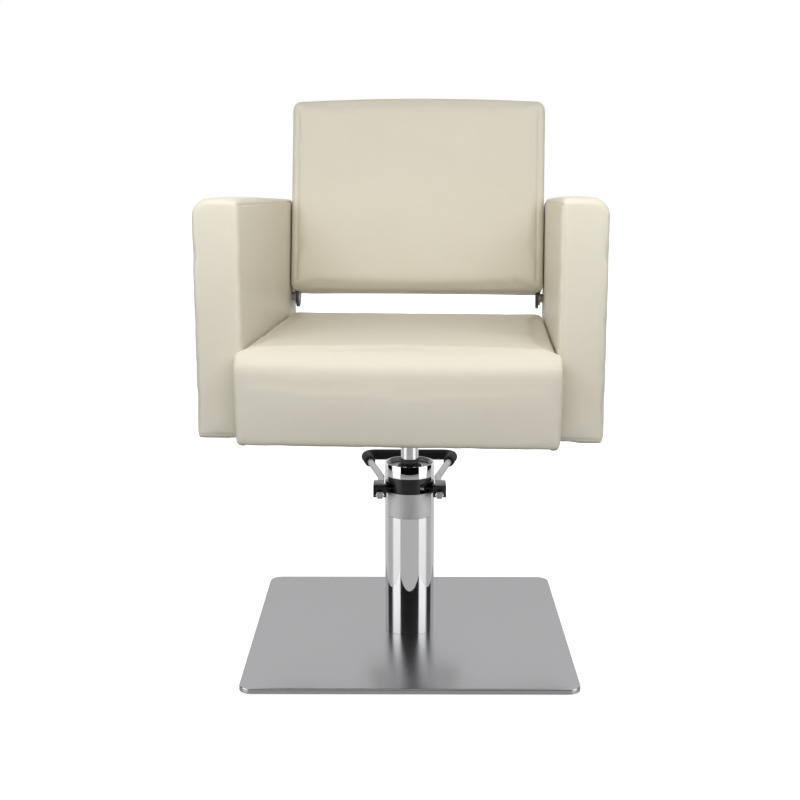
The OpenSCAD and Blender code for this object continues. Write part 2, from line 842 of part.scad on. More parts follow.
module pivot_bushes() {
    color(bronze) armchair() for (s = [0, 1]) mirror([s, 0, 0]) translate([0, pivot_y, pivot_z])
        difference() {
            bar_along_x(arm_gap + end_step, cavity_in + end_step, bush_out_r);
            bar_along_x(arm_gap, cavity_in + end_step + over, shaft_r + run_gap);
        }
}

module gas_cylinder() {
    color(black) armchair() translate([gas_x, 0, spring_z]) difference() {
        bar_along_y(gas_front, gas_rear, gas_r);
        bar_along_y(gas_front + gland_h, gas_rear - gland_h, gas_r - gas_wall);
        bar_along_y(gas_rear - gland_h - over, gas_rear + over, gas_rod_r + run_gap);
        bar_along_y(gas_front - over, gas_front + gland_h / 2, release_r + run_gap);
    }
}

module gas_saddles() {
    color(steel) armchair() for (share = saddle_shares) {
        y = gas_front + gas_len * share;
        difference() {
            box([cavity_in, y, spring_z - saddle_half],
                [gas_x + gas_r + end_step, y + saddle_w, spring_z + saddle_half]);
            translate([gas_x, 0, spring_z]) bar_along_y(y - over, y + saddle_w + over, gas_r + run_gap);
        }
    }
}

module release_head() {
    color(steel) armchair() translate([gas_x, 0, spring_z]) difference() {
        box([-head_half, gas_front - head_len, -head_half], [head_half, gas_front, head_half]);
        bar_along_y(gas_front - head_len - over, gas_front + over, release_r + run_gap);
    }
}

module release_pin() {
    color(steel) armchair() translate([gas_x, 0, spring_z])
        bar_along_y(gas_front - head_len - release_out, gas_front - head_len + release_in, release_r);
}

module lever_bracket() {
    lo = lever_z - ear_half;
    hi = lever_z + ear_half;
    front = lever_y - ear_depth;
    inner = gas_x - lever_t / 2 - ear_gap;
    outer = gas_x + lever_t / 2 + ear_gap;
    color(steel) armchair() difference() {
        union() {
            box([cavity_in, front - ear_t, lo], [outer + ear_t, front, hi]);
            box([cavity_in, front, lo], [cavity_in + ear_t, lever_y + ear_depth, hi]);
            for (x = [inner - ear_t, outer]) box([x, front, lo], [x + ear_t, lever_y + ear_half, hi]);
        }
        translate([0, lever_y, lever_z]) bar_along_x(inner - 2 * ear_t, outer + 2 * ear_t, lever_pin_r);
    }
}

module lever_pin() {
    reach = lever_t / 2 + ear_gap + ear_t;
    color(steel) armchair() translate([gas_x, lever_y, lever_z])
        bar_along_x(-reach, reach, lever_pin_r - run_gap);
}

module recline_lever() {
    color(steel) armchair() translate([gas_x - lever_t / 2, lever_y, 0]) difference() {
        union() {
            box([0, -lever_arm_w / 2, handle_z], [lever_t, lever_arm_w / 2, lever_z]);
            box([0, -lever_tip_r, lever_z], [lever_t, lever_tip_r, spring_z]);
            translate([0, 0, spring_z]) bar_along_x(0, lever_t, lever_tip_r);
            translate([0, 0, lever_z]) bar_along_x(0, lever_t, lever_arm_w);
            box([lever_t / 2 - handle_w / 2, -lever_reach, handle_z],
                [lever_t / 2 + handle_w / 2, lever_arm_w / 2, handle_z + handle_t]);
        }
        translate([0, 0, lever_z]) bar_along_x(-over, lever_t + over, lever_pin_r);
    }
}

module lever_grip() {
    front = lever_y - lever_reach;
    color(black) armchair() difference() {
        box([gas_x - handle_w / 2 - grip_cover, front - grip_cover, handle_z - grip_cover],
            [gas_x + handle_w / 2 + grip_cover, front + lever_reach * grip_share,
             handle_z + handle_t + grip_cover]);
        box([gas_x - handle_w / 2, front, handle_z],
            [gas_x + handle_w / 2, lever_y, handle_z + handle_t]);
    }
}

module back_frame() {
    color(wood) back_place() difference() {
        box([-frame_half, frame_front_t + fit_gap, frame_low_w],
            [frame_half, back_t - rear_t - fit_gap, back_h - frame_low_w]);
        for (s = [0, 1], share = plate_screw_shares) mirror([s, 0, 0])
            translate([0, frame_front_t + frame_t / 2, strap_h * share])
                bar_along_x(frame_half - plate_screw_len, frame_half + over, plate_screw_r + run_gap);
    }
}

module back_cushion() {
    depth = back_t - rear_t;
    mid_w = back_h / 2;
    rings = [for (x = stations(-back_half, back_half, back_corner_r))
        let(d = back_half - abs(x), wide = dome(x, back_half),
            inset = [draw_in(d, back_edge_r), draw_in(d, back_corner_r)])
        [for (p = outline([0, 0], [depth, back_h],
                [back_edge_r, back_edge_r, back_edge_r, back_rim_r], inset))
            let(fore = ramp(1 - p[0] / depth), up = p[1] / back_h)
            [x, p[0] - back_crown * pow(fore, 2) * wide * dome(p[1] - mid_w, mid_w),
                p[1] + back_arch * wide * pow(ramp(up), 4)]]];
    slot_in = frame_half - fit_gap;
    slot_out = frame_half + fit_gap + strap_t + plate_head_h + fit_gap;
    color(cream) back_place() difference() {
        loft(rings);
        box([-frame_half - fit_gap, frame_front_t, frame_low_w - fit_gap],
            [frame_half + fit_gap, depth + over, back_h - frame_low_w + fit_gap]);
        for (s = [0, 1]) mirror([s, 0, 0])
            box([slot_in, pivot_t - strap_disc_r - end_step, -over],
                [slot_out, depth + over, strap_h + over]);
    }
}

module rear_panel() {
    half = frame_half + strap_t;
    color(cream) back_place() translate([0, back_t - rear_t, 0]) rotate([-90, 0, 0])
        translate([0, -back_h / 2, 0]) linear_extrude(height = rear_t) {
            square([2 * (half - back_rim_r), back_h - 2 * arm_edge_r], center = true);
            square([2 * half, back_h - 2 * arm_edge_r - 2 * back_rim_r], center = true);
            for (x = [-1, 1], y = [-1, 1])
                translate([x * (half - back_rim_r), y * (back_h / 2 - arm_edge_r - back_rim_r)])
                    circle(r = back_rim_r);
        }
}

module pivot_plate() {
    color(steel) difference() {
        union() {
            box([frame_half + fit_gap, pivot_t - strap_half, pivot_w],
                [frame_half + fit_gap + strap_t, back_t - rear_t - fit_gap, strap_h]);
            translate([0, pivot_t, pivot_w])
                bar_along_x(frame_half + fit_gap, frame_half + fit_gap + strap_t, strap_disc_r);
        }
        translate([0, pivot_t, pivot_w])
            bar_along_x(frame_half, frame_half + 2 * strap_t, shaft_r);
        for (share = plate_screw_shares)
            translate([0, frame_front_t + frame_t / 2, strap_h * share])
                bar_along_x(frame_half, frame_half + 2 * strap_t, plate_screw_r + run_gap);
    }
}

module plate_screws() {
    outer = frame_half + fit_gap + strap_t;
    color(steel) back_place() for (s = [0, 1], share = plate_screw_shares) mirror([s, 0, 0])
        translate([0, frame_front_t + frame_t / 2, strap_h * share]) {
            bar_along_x(frame_half - plate_screw_len + end_step, outer, plate_screw_r);
            bar_along_x(outer, outer + plate_head_h, plate_head_r);
        }
}

// A pivot shaft from the plate out to x_end, with the flange that spaces the plate from the arm
module pivot_shaft(x_end) {
    plate = frame_half + fit_gap;
    color(steel) translate([0, pivot_t, pivot_w]) {
        bar_along_x(plate, x_end, shaft_r);
        bar_along_x(plate + strap_t, plate + strap_t + shaft_flange_t, shaft_flange_r);
    }
}

module recline_crank() {
    color(steel) armchair() translate([crank_in, pivot_y, pivot_z]) rotate([crank_half, 0, 0]) difference() {
        union() {
            bar_along_x(0, crank_t, crank_boss_r);
            box([0, -crank_end_r, -slot_mid - slot_half], [crank_t, crank_end_r, 0]);
            translate([0, 0, -slot_mid - slot_half]) bar_along_x(0, crank_t, crank_end_r);
        }
        bar_along_x(-over, crank_t + over, shaft_r);
        for (z = [-slot_mid - slot_half, -slot_mid + slot_half])
            translate([0, 0, z]) bar_along_x(-over, crank_t + over, pin_r + slot_play);
        box([-over, -pin_r - slot_play, -slot_mid - slot_half],
            [crank_t + over, pin_r + slot_play, -slot_mid + slot_half]);
    }
}

module gas_rod() {
    color(chrome) armchair() translate([gas_x, 0, spring_z]) {
        bar_along_y(rod_inner_y, pin_y - end_half, gas_rod_r);
        bar_along_y(rod_inner_y, rod_inner_y + gas_piston_h, gas_r - gas_wall - run_gap);
    }
}

module rod_end() {
    color(steel) armchair() translate([0, pin_y, spring_z]) difference() {
        box([end_in, -end_half, -end_half], [end_out, end_half, end_half]);
        bar_along_x(end_in - over, end_out + over, pin_r);
    }
}

module crank_pin() {
    color(steel) armchair() translate([0, pin_y, spring_z]) bar_along_x(crank_in - end_step, end_out, pin_r);
}

foot_mat();
foot_core();
foot_cover();
flange_screws();
pump_cylinder();
pump_head();
axle_bushes();
ram_guide();
ram_wiper();
column_sleeve();
window_plate();
column_cap();
plunger_spring();
pump_plunger();
pedal_axle();
pedal_crank();
left() clamp_block();  // clamp_block_left
clamp_block();  // clamp_block_right
clamp_nuts();
pedal_bar();
pedal_grip();
ram_rod();
ram_piston();
piston_nut();
thrust_washer();
seat_hub();
swivel_bush();
hub_bolts();
seat_board();
dust_cover();
seat_cushion();
cross_bars();
cross_bar_bolts();
armchair() left() arm_frame();  // arm_frame_left
armchair() arm_frame();  // arm_frame_right
armchair() left() arm_base(false);  // arm_base_left
armchair() arm_base(true);  // arm_base_right
armchair() left() arm_cover();  // arm_cover_left
armchair() arm_cover();  // arm_cover_right
pivot_bushes();
gas_cylinder();
gas_saddles();
release_head();
lever_bracket();
back_frame();
back_cushion();
rear_panel();
back_place() left() pivot_plate();  // pivot_plate_left
back_place() pivot_plate();  // pivot_plate_right
plate_screws();
back_place() left() pivot_shaft(cavity_in + ear_t);  // pivot_shaft_left
back_place() pivot_shaft(crank_in + crank_t + end_step);  // pivot_shaft_right
recline_crank();
gas_rod();
rod_end();
crank_pin();
release_pin();
recline_lever();
lever_pin();
lever_grip();
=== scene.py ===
import json
import math
import random

import bmesh
import bpy
import numpy as np
from mathutils import Matrix, Vector, noise
from mathutils.bvhtree import BVHTree
from mathutils.kdtree import KDTree


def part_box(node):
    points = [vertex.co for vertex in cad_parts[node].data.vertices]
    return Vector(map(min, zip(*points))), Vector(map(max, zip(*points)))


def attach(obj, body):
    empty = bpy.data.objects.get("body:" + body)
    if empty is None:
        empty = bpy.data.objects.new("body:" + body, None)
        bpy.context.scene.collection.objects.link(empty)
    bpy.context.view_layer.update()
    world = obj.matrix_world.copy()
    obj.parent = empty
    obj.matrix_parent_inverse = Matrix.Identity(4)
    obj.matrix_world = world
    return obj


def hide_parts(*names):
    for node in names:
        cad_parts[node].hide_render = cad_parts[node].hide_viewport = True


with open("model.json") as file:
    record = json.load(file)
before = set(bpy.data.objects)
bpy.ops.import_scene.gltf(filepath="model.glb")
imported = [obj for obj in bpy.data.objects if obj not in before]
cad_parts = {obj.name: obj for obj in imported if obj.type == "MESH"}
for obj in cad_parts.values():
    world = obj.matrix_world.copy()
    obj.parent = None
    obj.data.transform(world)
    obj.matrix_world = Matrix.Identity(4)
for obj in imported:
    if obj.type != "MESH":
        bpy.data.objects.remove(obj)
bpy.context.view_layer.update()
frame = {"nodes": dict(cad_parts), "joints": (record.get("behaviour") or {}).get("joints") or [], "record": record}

print("frame loaded with", len(frame["nodes"]), "nodes")

# How the armchair stands: its swivel comes from the recline axis, which lies across it
reclineAxis = next(j["axis"] for j in frame["joints"] if j["name"] == "recline")
armchairTurn = math.atan2(-reclineAxis[1], -reclineAxis[0])
backSet = {"lean": math.radians(11.6), "foot": (0, 0.182, 0.581)}
square = Matrix.Identity(4)
armchair = Matrix.Rotation(armchairTurn, 4, "Z")
backPlace = armchair @ Matrix.Translation(backSet["foot"]) @ Matrix.Rotation(-backSet["lean"], 4, "X")

# Lengths that count as none: for points that are merged, and for points that lie in one plane
tiny, nearly = 1e-6, 1e-5


# Lowest and highest corner of a node, in the frame of the place it stands in
def nodeBox(node, place=square):
    inverse = place.inverted()
    corners = np.array([inverse @ v.co for v in frame["nodes"][node].data.vertices])
    return Vector(corners.min(0)), Vector(corners.max(0))


def clamp(value):
    return max(0.0, min(1.0, value))


# One in the middle, nothing at a distance of one to either side
def hump(value):
    return max(0.0, 1 - value ** 2)


# Modelling helpers

def deselectAll():
    if bpy.context.object and bpy.context.object.mode != "OBJECT":
        bpy.ops.object.mode_set(mode="OBJECT")
    bpy.ops.object.select_all(action="DESELECT")


def makeActive(piece):
    deselectAll()
    piece.select_set(True)
    bpy.context.view_layer.objects.active = piece


def openMesh(piece, kind="FACE"):
    makeActive(piece)
    bpy.ops.object.mode_set(mode="EDIT")
    bpy.ops.mesh.select_mode(type=kind)
    bpy.ops.mesh.select_all(action="DESELECT")


def closeMesh():
    bpy.ops.object.mode_set(mode="OBJECT")


def openWhole(piece, kind="FACE"):
    openMesh(piece, kind)
    bpy.ops.mesh.select_all(action="SELECT")


# The test is given the face's normal
def pickFaces(piece, test):
    openMesh(piece)
    mesh = bmesh.from_edit_mesh(piece.data)
    for face in mesh.faces:
        if test(face.normal):
            face.select_set(True)
    bmesh.update_edit_mesh(piece.data)


# The test is given both ends of an edge
def pickEdges(piece, test):
    openMesh(piece, "EDGE")
    mesh = bmesh.from_edit_mesh(piece.data)
    for edge in mesh.edges:
        if test(edge.verts[0].co, edge.verts[1].co):
            edge.select_set(True)
    bmesh.update_edit_mesh(piece.data)


def bevelEdges(piece, test, radius, segments=6):
    pickEdges(piece, test)
    bpy.ops.mesh.bevel(offset=radius, offset_type="OFFSET", segments=segments, profile=0.5,
                       affect="EDGES", clamp_overlap=True)
    closeMesh()


def applyModifier(piece, name):
    makeActive(piece)
    bpy.ops.object.modifier_apply(modifier=name)


def subdivide(piece):
    modifier = piece.modifiers.new("Subdivision", "SUBSURF")
    modifier.levels = modifier.render_levels = 1
    applyModifier(piece, "Subdivision")


def solidify(piece, thickness):
    modifier = piece.modifiers.new("Solidify", "SOLIDIFY")
    modifier.thickness, modifier.offset = thickness, -1.0
    modifier.use_even_offset = True
    applyModifier(piece, "Solidify")


def smoothBy(piece, degrees):
    makeActive(piece)
    bpy.ops.object.shade_smooth_by_angle(angle=math.radians(degrees))


def recalculate(piece):
    openWhole(piece)
    bpy.ops.mesh.remove_doubles(threshold=tiny)
    bpy.ops.mesh.normals_make_consistent(inside=False)
    closeMesh()


def applyPlace():
    bpy.ops.object.transform_apply(location=True, rotation=True, scale=True)


def duplicate(source):
    copy = source.copy()
    copy.data = source.data.copy()
    bpy.context.scene.collection.objects.link(copy)
    return copy


def addBlock(name, low, high):
    deselectAll()
    bpy.ops.mesh.primitive_cube_add(size=1, location=(Vector(low) + Vector(high)) / 2)
    piece = bpy.context.object
    piece.name = name
    piece.scale = Vector(high) - Vector(low)
    applyPlace()
    return piece


def addTube(name, start, end, radius, sides):
    deselectAll()
    start, end = Vector(start), Vector(end)
    bpy.ops.mesh.primitive_cylinder_add(vertices=sides, radius=radius, depth=(end - start).length,
                                        location=(start + end) / 2)
    piece = bpy.context.object
    piece.name = name
    piece.rotation_mode = "QUATERNION"
    piece.rotation_quaternion = (end - start).to_track_quat("Z", "Y")
    applyPlace()
    return piece


# The outline of a ring or rod whose outer edges are chamfered, in radius and height
def chamfered(inner, outer, low, high, cut):
    return [(inner, low), (outer - cut, low), (outer, low + cut), (outer, high - cut), (outer - cut, high),
            (inner, high)]


# A round piece: a ring of points is set to the profile, in radius and height, and spun about Z.
# A part turn starts at an angle and has its ends closed
def spinRound(name, profile, sides, start=0.0, turn=math.tau):
    deselectAll()
    fill = "NOTHING" if turn == math.tau else "NGON"
    bpy.ops.mesh.primitive_circle_add(vertices=len(profile), fill_type=fill)
    piece = bpy.context.object
    piece.name = name
    for vertex, (r, z) in zip(piece.data.vertices, profile):
        vertex.co = (r * math.cos(start), r * math.sin(start), z)
    openWhole(piece, "VERT")
    bpy.ops.mesh.spin(steps=sides, angle=-turn, center=(0, 0, 0), axis=(0, 0, 1))
    closeMesh()
    recalculate(piece)
    return piece


def carve(piece, cutters):
    for cutter in cutters:
        cut = piece.modifiers.new("Carve", "BOOLEAN")
        cut.operation, cut.object, cut.solver = "DIFFERENCE", cutter, "EXACT"
        applyModifier(piece, "Carve")
        bpy.data.objects.remove(cutter)


edgeSet = {"flat": math.radians(1.0), "sharp": math.radians(35), "segments": 2, "smooth": 32}


# A copy of a CAD node with its triangles merged into flat faces and its sharp edges bevelled
def softened(node, body, width):
    deselectAll()
    piece = bpy.data.objects.new(node + "Soft", frame["nodes"][node].data.copy())
    bpy.context.scene.collection.objects.link(piece)
    openWhole(piece)
    bpy.ops.mesh.remove_doubles(threshold=tiny)
    bpy.ops.mesh.dissolve_limited(angle_limit=edgeSet["flat"])
    closeMesh()
    modifier = piece.modifiers.new("Bevel", "BEVEL")
    modifier.width, modifier.segments = width, edgeSet["segments"]
    modifier.limit_method, modifier.angle_limit = "ANGLE", edgeSet["sharp"]
    applyModifier(piece, "Bevel")
    smoothBy(piece, edgeSet["smooth"])
    settle(piece, body, finishOf(node), [node])


def joinPieces(name, parts):
    deselectAll()
    for part in parts:
        part.select_set(True)
    bpy.context.view_layer.objects.active = parts[0]
    bpy.ops.object.join()
    parts[0].name = name
    return parts[0]


# A piece's place goes into its mesh, it takes its finish, and it rides on its body
def settle(piece, body, finish, replaced=(), place=square):
    piece.matrix_world = place
    makeActive(piece)
    applyPlace()
    piece.data.materials.clear()
    piece.data.materials.append(finish)
    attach(piece, body)
    if replaced:
        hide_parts(*replaced)


# Shader helpers: a socket with arithmetic, and one method that adds any node

class Value:
    def __init__(self, finish, socket):
        self.finish, self.socket = finish, socket

    def run(self, operation, one, two):
        return self.finish.node("ShaderNodeMath", {"operation": operation}, {0: one, 1: two})

    # Another output of the same shader node
    def twin(self, output):
        return Value(self.finish, self.socket.node.outputs[output])

    def __add__(self, other):
        return self.run("ADD", self, other)

    __radd__ = __add__

    def __mul__(self, other):
        return self.run("MULTIPLY", self, other)

    __rmul__ = __mul__

    def __pow__(self, other):
        return self.run("POWER", self, other)


class Finish:
    def __init__(self, name, **constants):
        self.material = bpy.data.materials.new(name)
        self.material.use_nodes = True
        self.tree = self.material.node_tree
        self.shader = self.tree.nodes["Principled BSDF"]
        for key, value in constants.items():
            self.shader.inputs[key.replace("_", " ")].default_value = value
        self.place = self.node("ShaderNodeTexCoord", output="Object")

    def node(self, kind, settings=None, sockets=None, output=0):
        made = self.tree.nodes.new(kind)
        for key, value in (settings or {}).items():
            setattr(made, key, value)
        for key, value in (sockets or {}).items():
            if isinstance(value, Value):
                self.tree.links.new(value.socket, made.inputs[key])
            else:
                made.inputs[key].default_value = value
        return Value(self, made.outputs[output])

    def drive(self, name, value):
        self.tree.links.new(value.socket, self.shader.inputs[name])

    # The object's place, stretched along its axes
    def stretched(self, scale):
        return self.node("ShaderNodeMapping", None, {"Vector": self.place, "Scale": scale})

    def noise(self, scale, detail, vector=None, roughness=0.5):
        return self.node("ShaderNodeTexNoise", {"noise_dimensions": "3D"},
                         {"Vector": vector or self.place, "Scale": scale, "Detail": detail, "Roughness": roughness})

    def cells(self, scale, feature="F1"):
        return self.node("ShaderNodeTexVoronoi", {"feature": feature}, {"Vector": self.place, "Scale": scale})

    # A ramp between two stops, each a place and a shade
    def steps(self, value, stops):
        ramp = self.node("ShaderNodeValToRGB", None, {"Fac": value})
        for index, (at, shade) in enumerate(stops):
            stop = ramp.socket.node.color_ramp.elements[index]
            stop.position, stop.color = at, (shade, shade, shade, 1)
        return ramp

    def mixed(self, factor, one, two):
        return self.node("ShaderNodeMix", {"data_type": "RGBA"}, {0: factor, 6: one, 7: two}, output=2)

    def bump(self, height, strength, distance):
        normal = self.node("ShaderNodeBump", None,
                           {"Height": height, "Strength": strength, "Distance": distance})
        self.drive("Normal", normal)


def colour(red, green, blue):
    return (red, green, blue, 1)


# Smooth faux leather: fine pebble, faint cloudiness, and along the sewn grooves a painted shade that darkens the
# colour, with a duller surface there
def fauxLeather():
    made = Finish("creamFauxLeather", Roughness=0.42, Specular_IOR_Level=0.45)
    clouds = made.noise(7.0, 3.0)
    fine = made.noise(90.0, 3.0)
    seamShade = made.node("ShaderNodeAttribute", {"attribute_name": "seamShade"}, output="Fac")
    shade = made.steps(clouds * 0.7 + fine * 0.3, [(0.3, 0.0), (0.7, 1.0)])
    body = made.mixed(shade, colour(0.715, 0.672, 0.555), colour(0.745, 0.705, 0.592))
    # Painted shade in the seam grooves darkens the colour there
    made.drive("Base Color", made.mixed(seamShade * 0.55, body, colour(0.42, 0.385, 0.30)))
    made.drive("Roughness", 0.40 + 0.07 * shade + 0.2 * seamShade)
    pebble = made.cells(700.0, "SMOOTH_F1")
    creases = made.noise(260.0, 4.0)
    made.bump(pebble * 0.7 + creases * 0.5, 0.22, 0.0004)
    return made.material


def threadFinish():
    made = Finish("creamThread", Roughness=0.6, Sheen_Weight=0.2)
    twist = made.noise(1500.0, 2.0)
    made.drive("Base Color", made.mixed(twist, colour(0.60, 0.56, 0.45), colour(0.72, 0.68, 0.57)))
    made.bump(twist, 0.4, 0.0003)
    return made.material


# Brushed or plain metal: streaks lie along one axis
def metal(name, base, roughness, streaks=None, metallic=1.0, strength=0.1, depth=0.88):
    made = Finish(name, Metallic=metallic, Roughness=roughness, Specular_Tint=colour(0.7, 0.7, 0.7))
    vector = made.stretched(streaks) if streaks else made.place
    grain = made.noise(1.0 if streaks else 120.0, 4.0, vector, 0.6)
    smudge = made.noise(14.0, 3.0)
    dark = tuple(c * depth for c in base)
    made.drive("Base Color", made.mixed(grain * 0.6 + smudge * 0.4, colour(*dark), colour(*base)))
    made.drive("Roughness", roughness * (0.88 + 0.14 * grain + 0.1 * smudge))
    made.bump(grain, strength, 0.0002)
    return made.material


def chromePlate():
    made = Finish("chromePlate", Metallic=1.0, Roughness=0.05)
    smudge = made.noise(16.0, 4.0)
    made.drive("Base Color", made.mixed(smudge, colour(0.70, 0.70, 0.71), colour(0.76, 0.76, 0.77)))
    made.drive("Roughness", 0.02 + 0.03 * smudge)
    return made.material


# The cap is bright outside and satin in its dish
def dishedChrome():
    made = Finish("dishedChrome", Metallic=1.0, Roughness=0.05)
    parts = made.node("ShaderNodeSeparateXYZ", None, {"Vector": made.place})
    across, along = parts.twin("X"), parts.twin("Y")
    radius = (across * across + along * along) ** 0.5
    inside = made.steps(radius * 10.0, [(0.398, 1.0), (0.404, 0.0)])
    smudge = made.noise(16.0, 4.0)
    made.drive("Base Color", made.mixed(inside, colour(0.73, 0.73, 0.74), colour(0.52, 0.52, 0.53)))
    made.drive("Roughness", 0.03 + 0.02 * smudge + 0.33 * inside)
    return made.material


def paint(name, base, roughness, peel=90.0):
    made = Finish(name, Roughness=roughness)
    grain = made.noise(peel, 3.0)
    dust = made.noise(11.0, 4.0)
    light = tuple(c * 1.6 + 0.006 for c in base)
    made.drive("Base Color", made.mixed(dust, colour(*base), colour(*light)))
    made.drive("Roughness", roughness * (0.85 + 0.3 * dust))
    made.bump(grain, 0.12, 0.0003)
    return made.material


def rubber():
    made = Finish("blackRubber", Roughness=0.62, Specular_IOR_Level=0.4)
    dust = made.noise(30.0, 5.0)
    pores = made.noise(600.0, 2.0)
    made.drive("Base Color", made.mixed(dust, colour(0.012, 0.012, 0.013), colour(0.035, 0.034, 0.033)))
    made.drive("Roughness", 0.5 + 0.25 * dust)
    made.bump(pores, 0.25, 0.0003)
    return made.material


def plywood():
    made = Finish("birchPlywood", Roughness=0.6)
    grain = made.noise(1.0, 6.0, made.stretched((90, 6, 260)))
    plies = made.node("ShaderNodeTexWave", {"bands_direction": "Z"},
                      {"Vector": made.place, "Scale": 120.0, "Distortion": 0.4})
    face = made.mixed(grain, colour(0.52, 0.36, 0.20), colour(0.70, 0.53, 0.33))
    made.drive("Base Color", made.mixed(plies * 0.35, face, colour(0.36, 0.24, 0.13)))
    made.bump(grain, 0.15, 0.0003)
    return made.material


# Spun-bonded dust cloth, with its small embossed points
def spunCloth():
    made = Finish("blackDustCloth", Roughness=0.85)
    fibres = made.noise(1.0, 5.0, made.stretched((900, 500, 500)))
    points = made.cells(520.0)
    made.drive("Base Color", made.mixed(fibres, colour(0.012, 0.012, 0.014), colour(0.05, 0.05, 0.055)))
    made.bump(points + fibres * 0.5, 0.35, 0.0003)
    return made.material


print("making finishes")
cream = fauxLeather()
thread = threadFinish()
finishes = {
    "upholstery": cream,
    "brushed_steel": metal("brushedStainless", (0.45, 0.45, 0.46), 0.24, (9, 2600, 2600), strength=0.015,
                           depth=0.96),
    "steel": metal("zincSteel", (0.56, 0.57, 0.60), 0.36),
    "satin_metal": metal("satinAluminium", (0.47, 0.47, 0.48), 0.42, (900, 900, 30), strength=0.05),
    "chrome": chromePlate(),
    "black_metal": paint("blackPaint", (0.012, 0.012, 0.014), 0.32),
    "rubber": rubber(),
    "bronze": metal("sinteredBronze", (0.62, 0.42, 0.19), 0.4),
    "wood": plywood(),
    "black_fabric": spunCloth(),
    "black_plastic": paint("blackPlastic", (0.016, 0.016, 0.018), 0.45, 400.0),
}
plateSteel = metal("greySteel", (0.16, 0.16, 0.165), 0.42)
nodeFinishes = {"pedal_bar": metal("satinRod", (0.60, 0.60, 0.61), 0.33, strength=0.03),
                "pedal_axle": metal("blackedSteel", (0.03, 0.03, 0.032), 0.35),
                "pivot_plate_left": plateSteel, "pivot_plate_right": plateSteel}
slotOf = {s["node"]: s["material_slot"] for s in frame["record"]["subparts"]}


def finishOf(node):
    return nodeFinishes.get(node) or finishes[slotOf[node]]


for nodeName, nodeObject in frame["nodes"].items():
    nodeObject.data.materials.clear()
    nodeObject.data.materials.append(finishOf(nodeName))


# Cushions

clothSet = {"relax": 0.5, "relaxSteps": 2, "quality": 5, "frames": 20}


# A voxel remesh, a cloth simulation under pressure, and a cap on how far each point may move along
# each axis
def inflate(piece, voxel, held, caps, pressure):
    makeActive(piece)
    piece.data.remesh_voxel_size = voxel
    bpy.ops.object.voxel_remesh()
    relax = piece.modifiers.new("Relax", "SMOOTH")
    relax.factor, relax.iterations = clothSet["relax"], clothSet["relaxSteps"]
    applyModifier(piece, "Relax")
    start = np.array([v.co for v in piece.data.vertices])
    group = piece.vertex_groups.new(name="held")
    group.add([i for i, p in enumerate(start) if held(p)], 1.0, "REPLACE")
    cloth = piece.modifiers.new("Cloth", "CLOTH")
    cloth.settings.quality = clothSet["quality"]
    cloth.settings.vertex_group_mass = "held"
    cloth.settings.use_pressure = True
    cloth.settings.uniform_pressure_force = pressure
    cloth.settings.effector_weights.gravity = 0
    cloth.point_cache.frame_end = clothSet["frames"]
    for step in range(1, clothSet["frames"] + 1):
        bpy.context.scene.frame_set(step)
    applyModifier(piece, "Cloth")
    piece.vertex_groups.clear()
    bpy.context.scene.frame_set(1)
    moved = np.array([v.co for v in piece.data.vertices])
    cap = np.array([caps(p) for p in start])
    piece.data.vertices.foreach_set("co", (start + cap * np.tanh((moved - start) / cap)).ravel())
    piece.data.update()
    subdivide(piece)


# A hem isn't quite straight: points within reach of the foot rise a little here and there
def waveHem(piece, foot, reach, height, scale, seed):
    for vertex in piece.data.vertices:
        p = vertex.co
        near = max(0.0, 1 - (p.z - foot) / reach)
        if near > 0:
            p.z += height * near * max(0.0, noise.noise(Vector((p.x * scale, p.y * scale, seed))) + 0.25)


rimSet = {"wide": 0.013, "blend": 0.007, "reach": 0.14}


# The padding rolls under its board: the underside's rim hangs, and its middle may lie a little higher
def hangRim(piece, low, high, foot, hang, lift=0.0):
    for vertex in piece.data.vertices:
        p = vertex.co
        rim = min(high[0] - p.x, p.x - low[0], high[1] - p.y, p.y - low[1])
        out = clamp((rimSet["wide"] - rim) / rimSet["blend"])
        p.z -= (hang * out - lift * (1 - out)) * max(0.0, 1 - (p.z - foot) / rimSet["reach"]) ** 4


# A path through corner points, as even points a step apart
def evenPath(points, step=0.001):
    path = []
    for one, two in zip(points, points[1:]):
        one, two = Vector(one), Vector(two)
        count = max(1, round((two - one).length / step))
        path += [one.lerp(two, i / count) for i in range(count)]
    return path + [Vector(points[-1])]


# Drops a path onto a piece's surface, and gives each point with the normal there
def onSurface(piece, path):
    tree = BVHTree.FromPolygons([v.co for v in piece.data.vertices], [p.vertices for p in piece.data.polygons])
    found = [tree.find_nearest(p) for p in path]
    return [(hit[0], hit[1]) for hit in found]


# A seam's reaches in widths of its groove, and the depth from which the painted shade in its groove is fully dark
sewSet = {"bands": (4.0, 1.8), "reach": 9, "ripple": 3.5, "line": 0.6, "beat": 0.11, "seedStep": 7.3,
          "fullShadeDepth": 0.001}
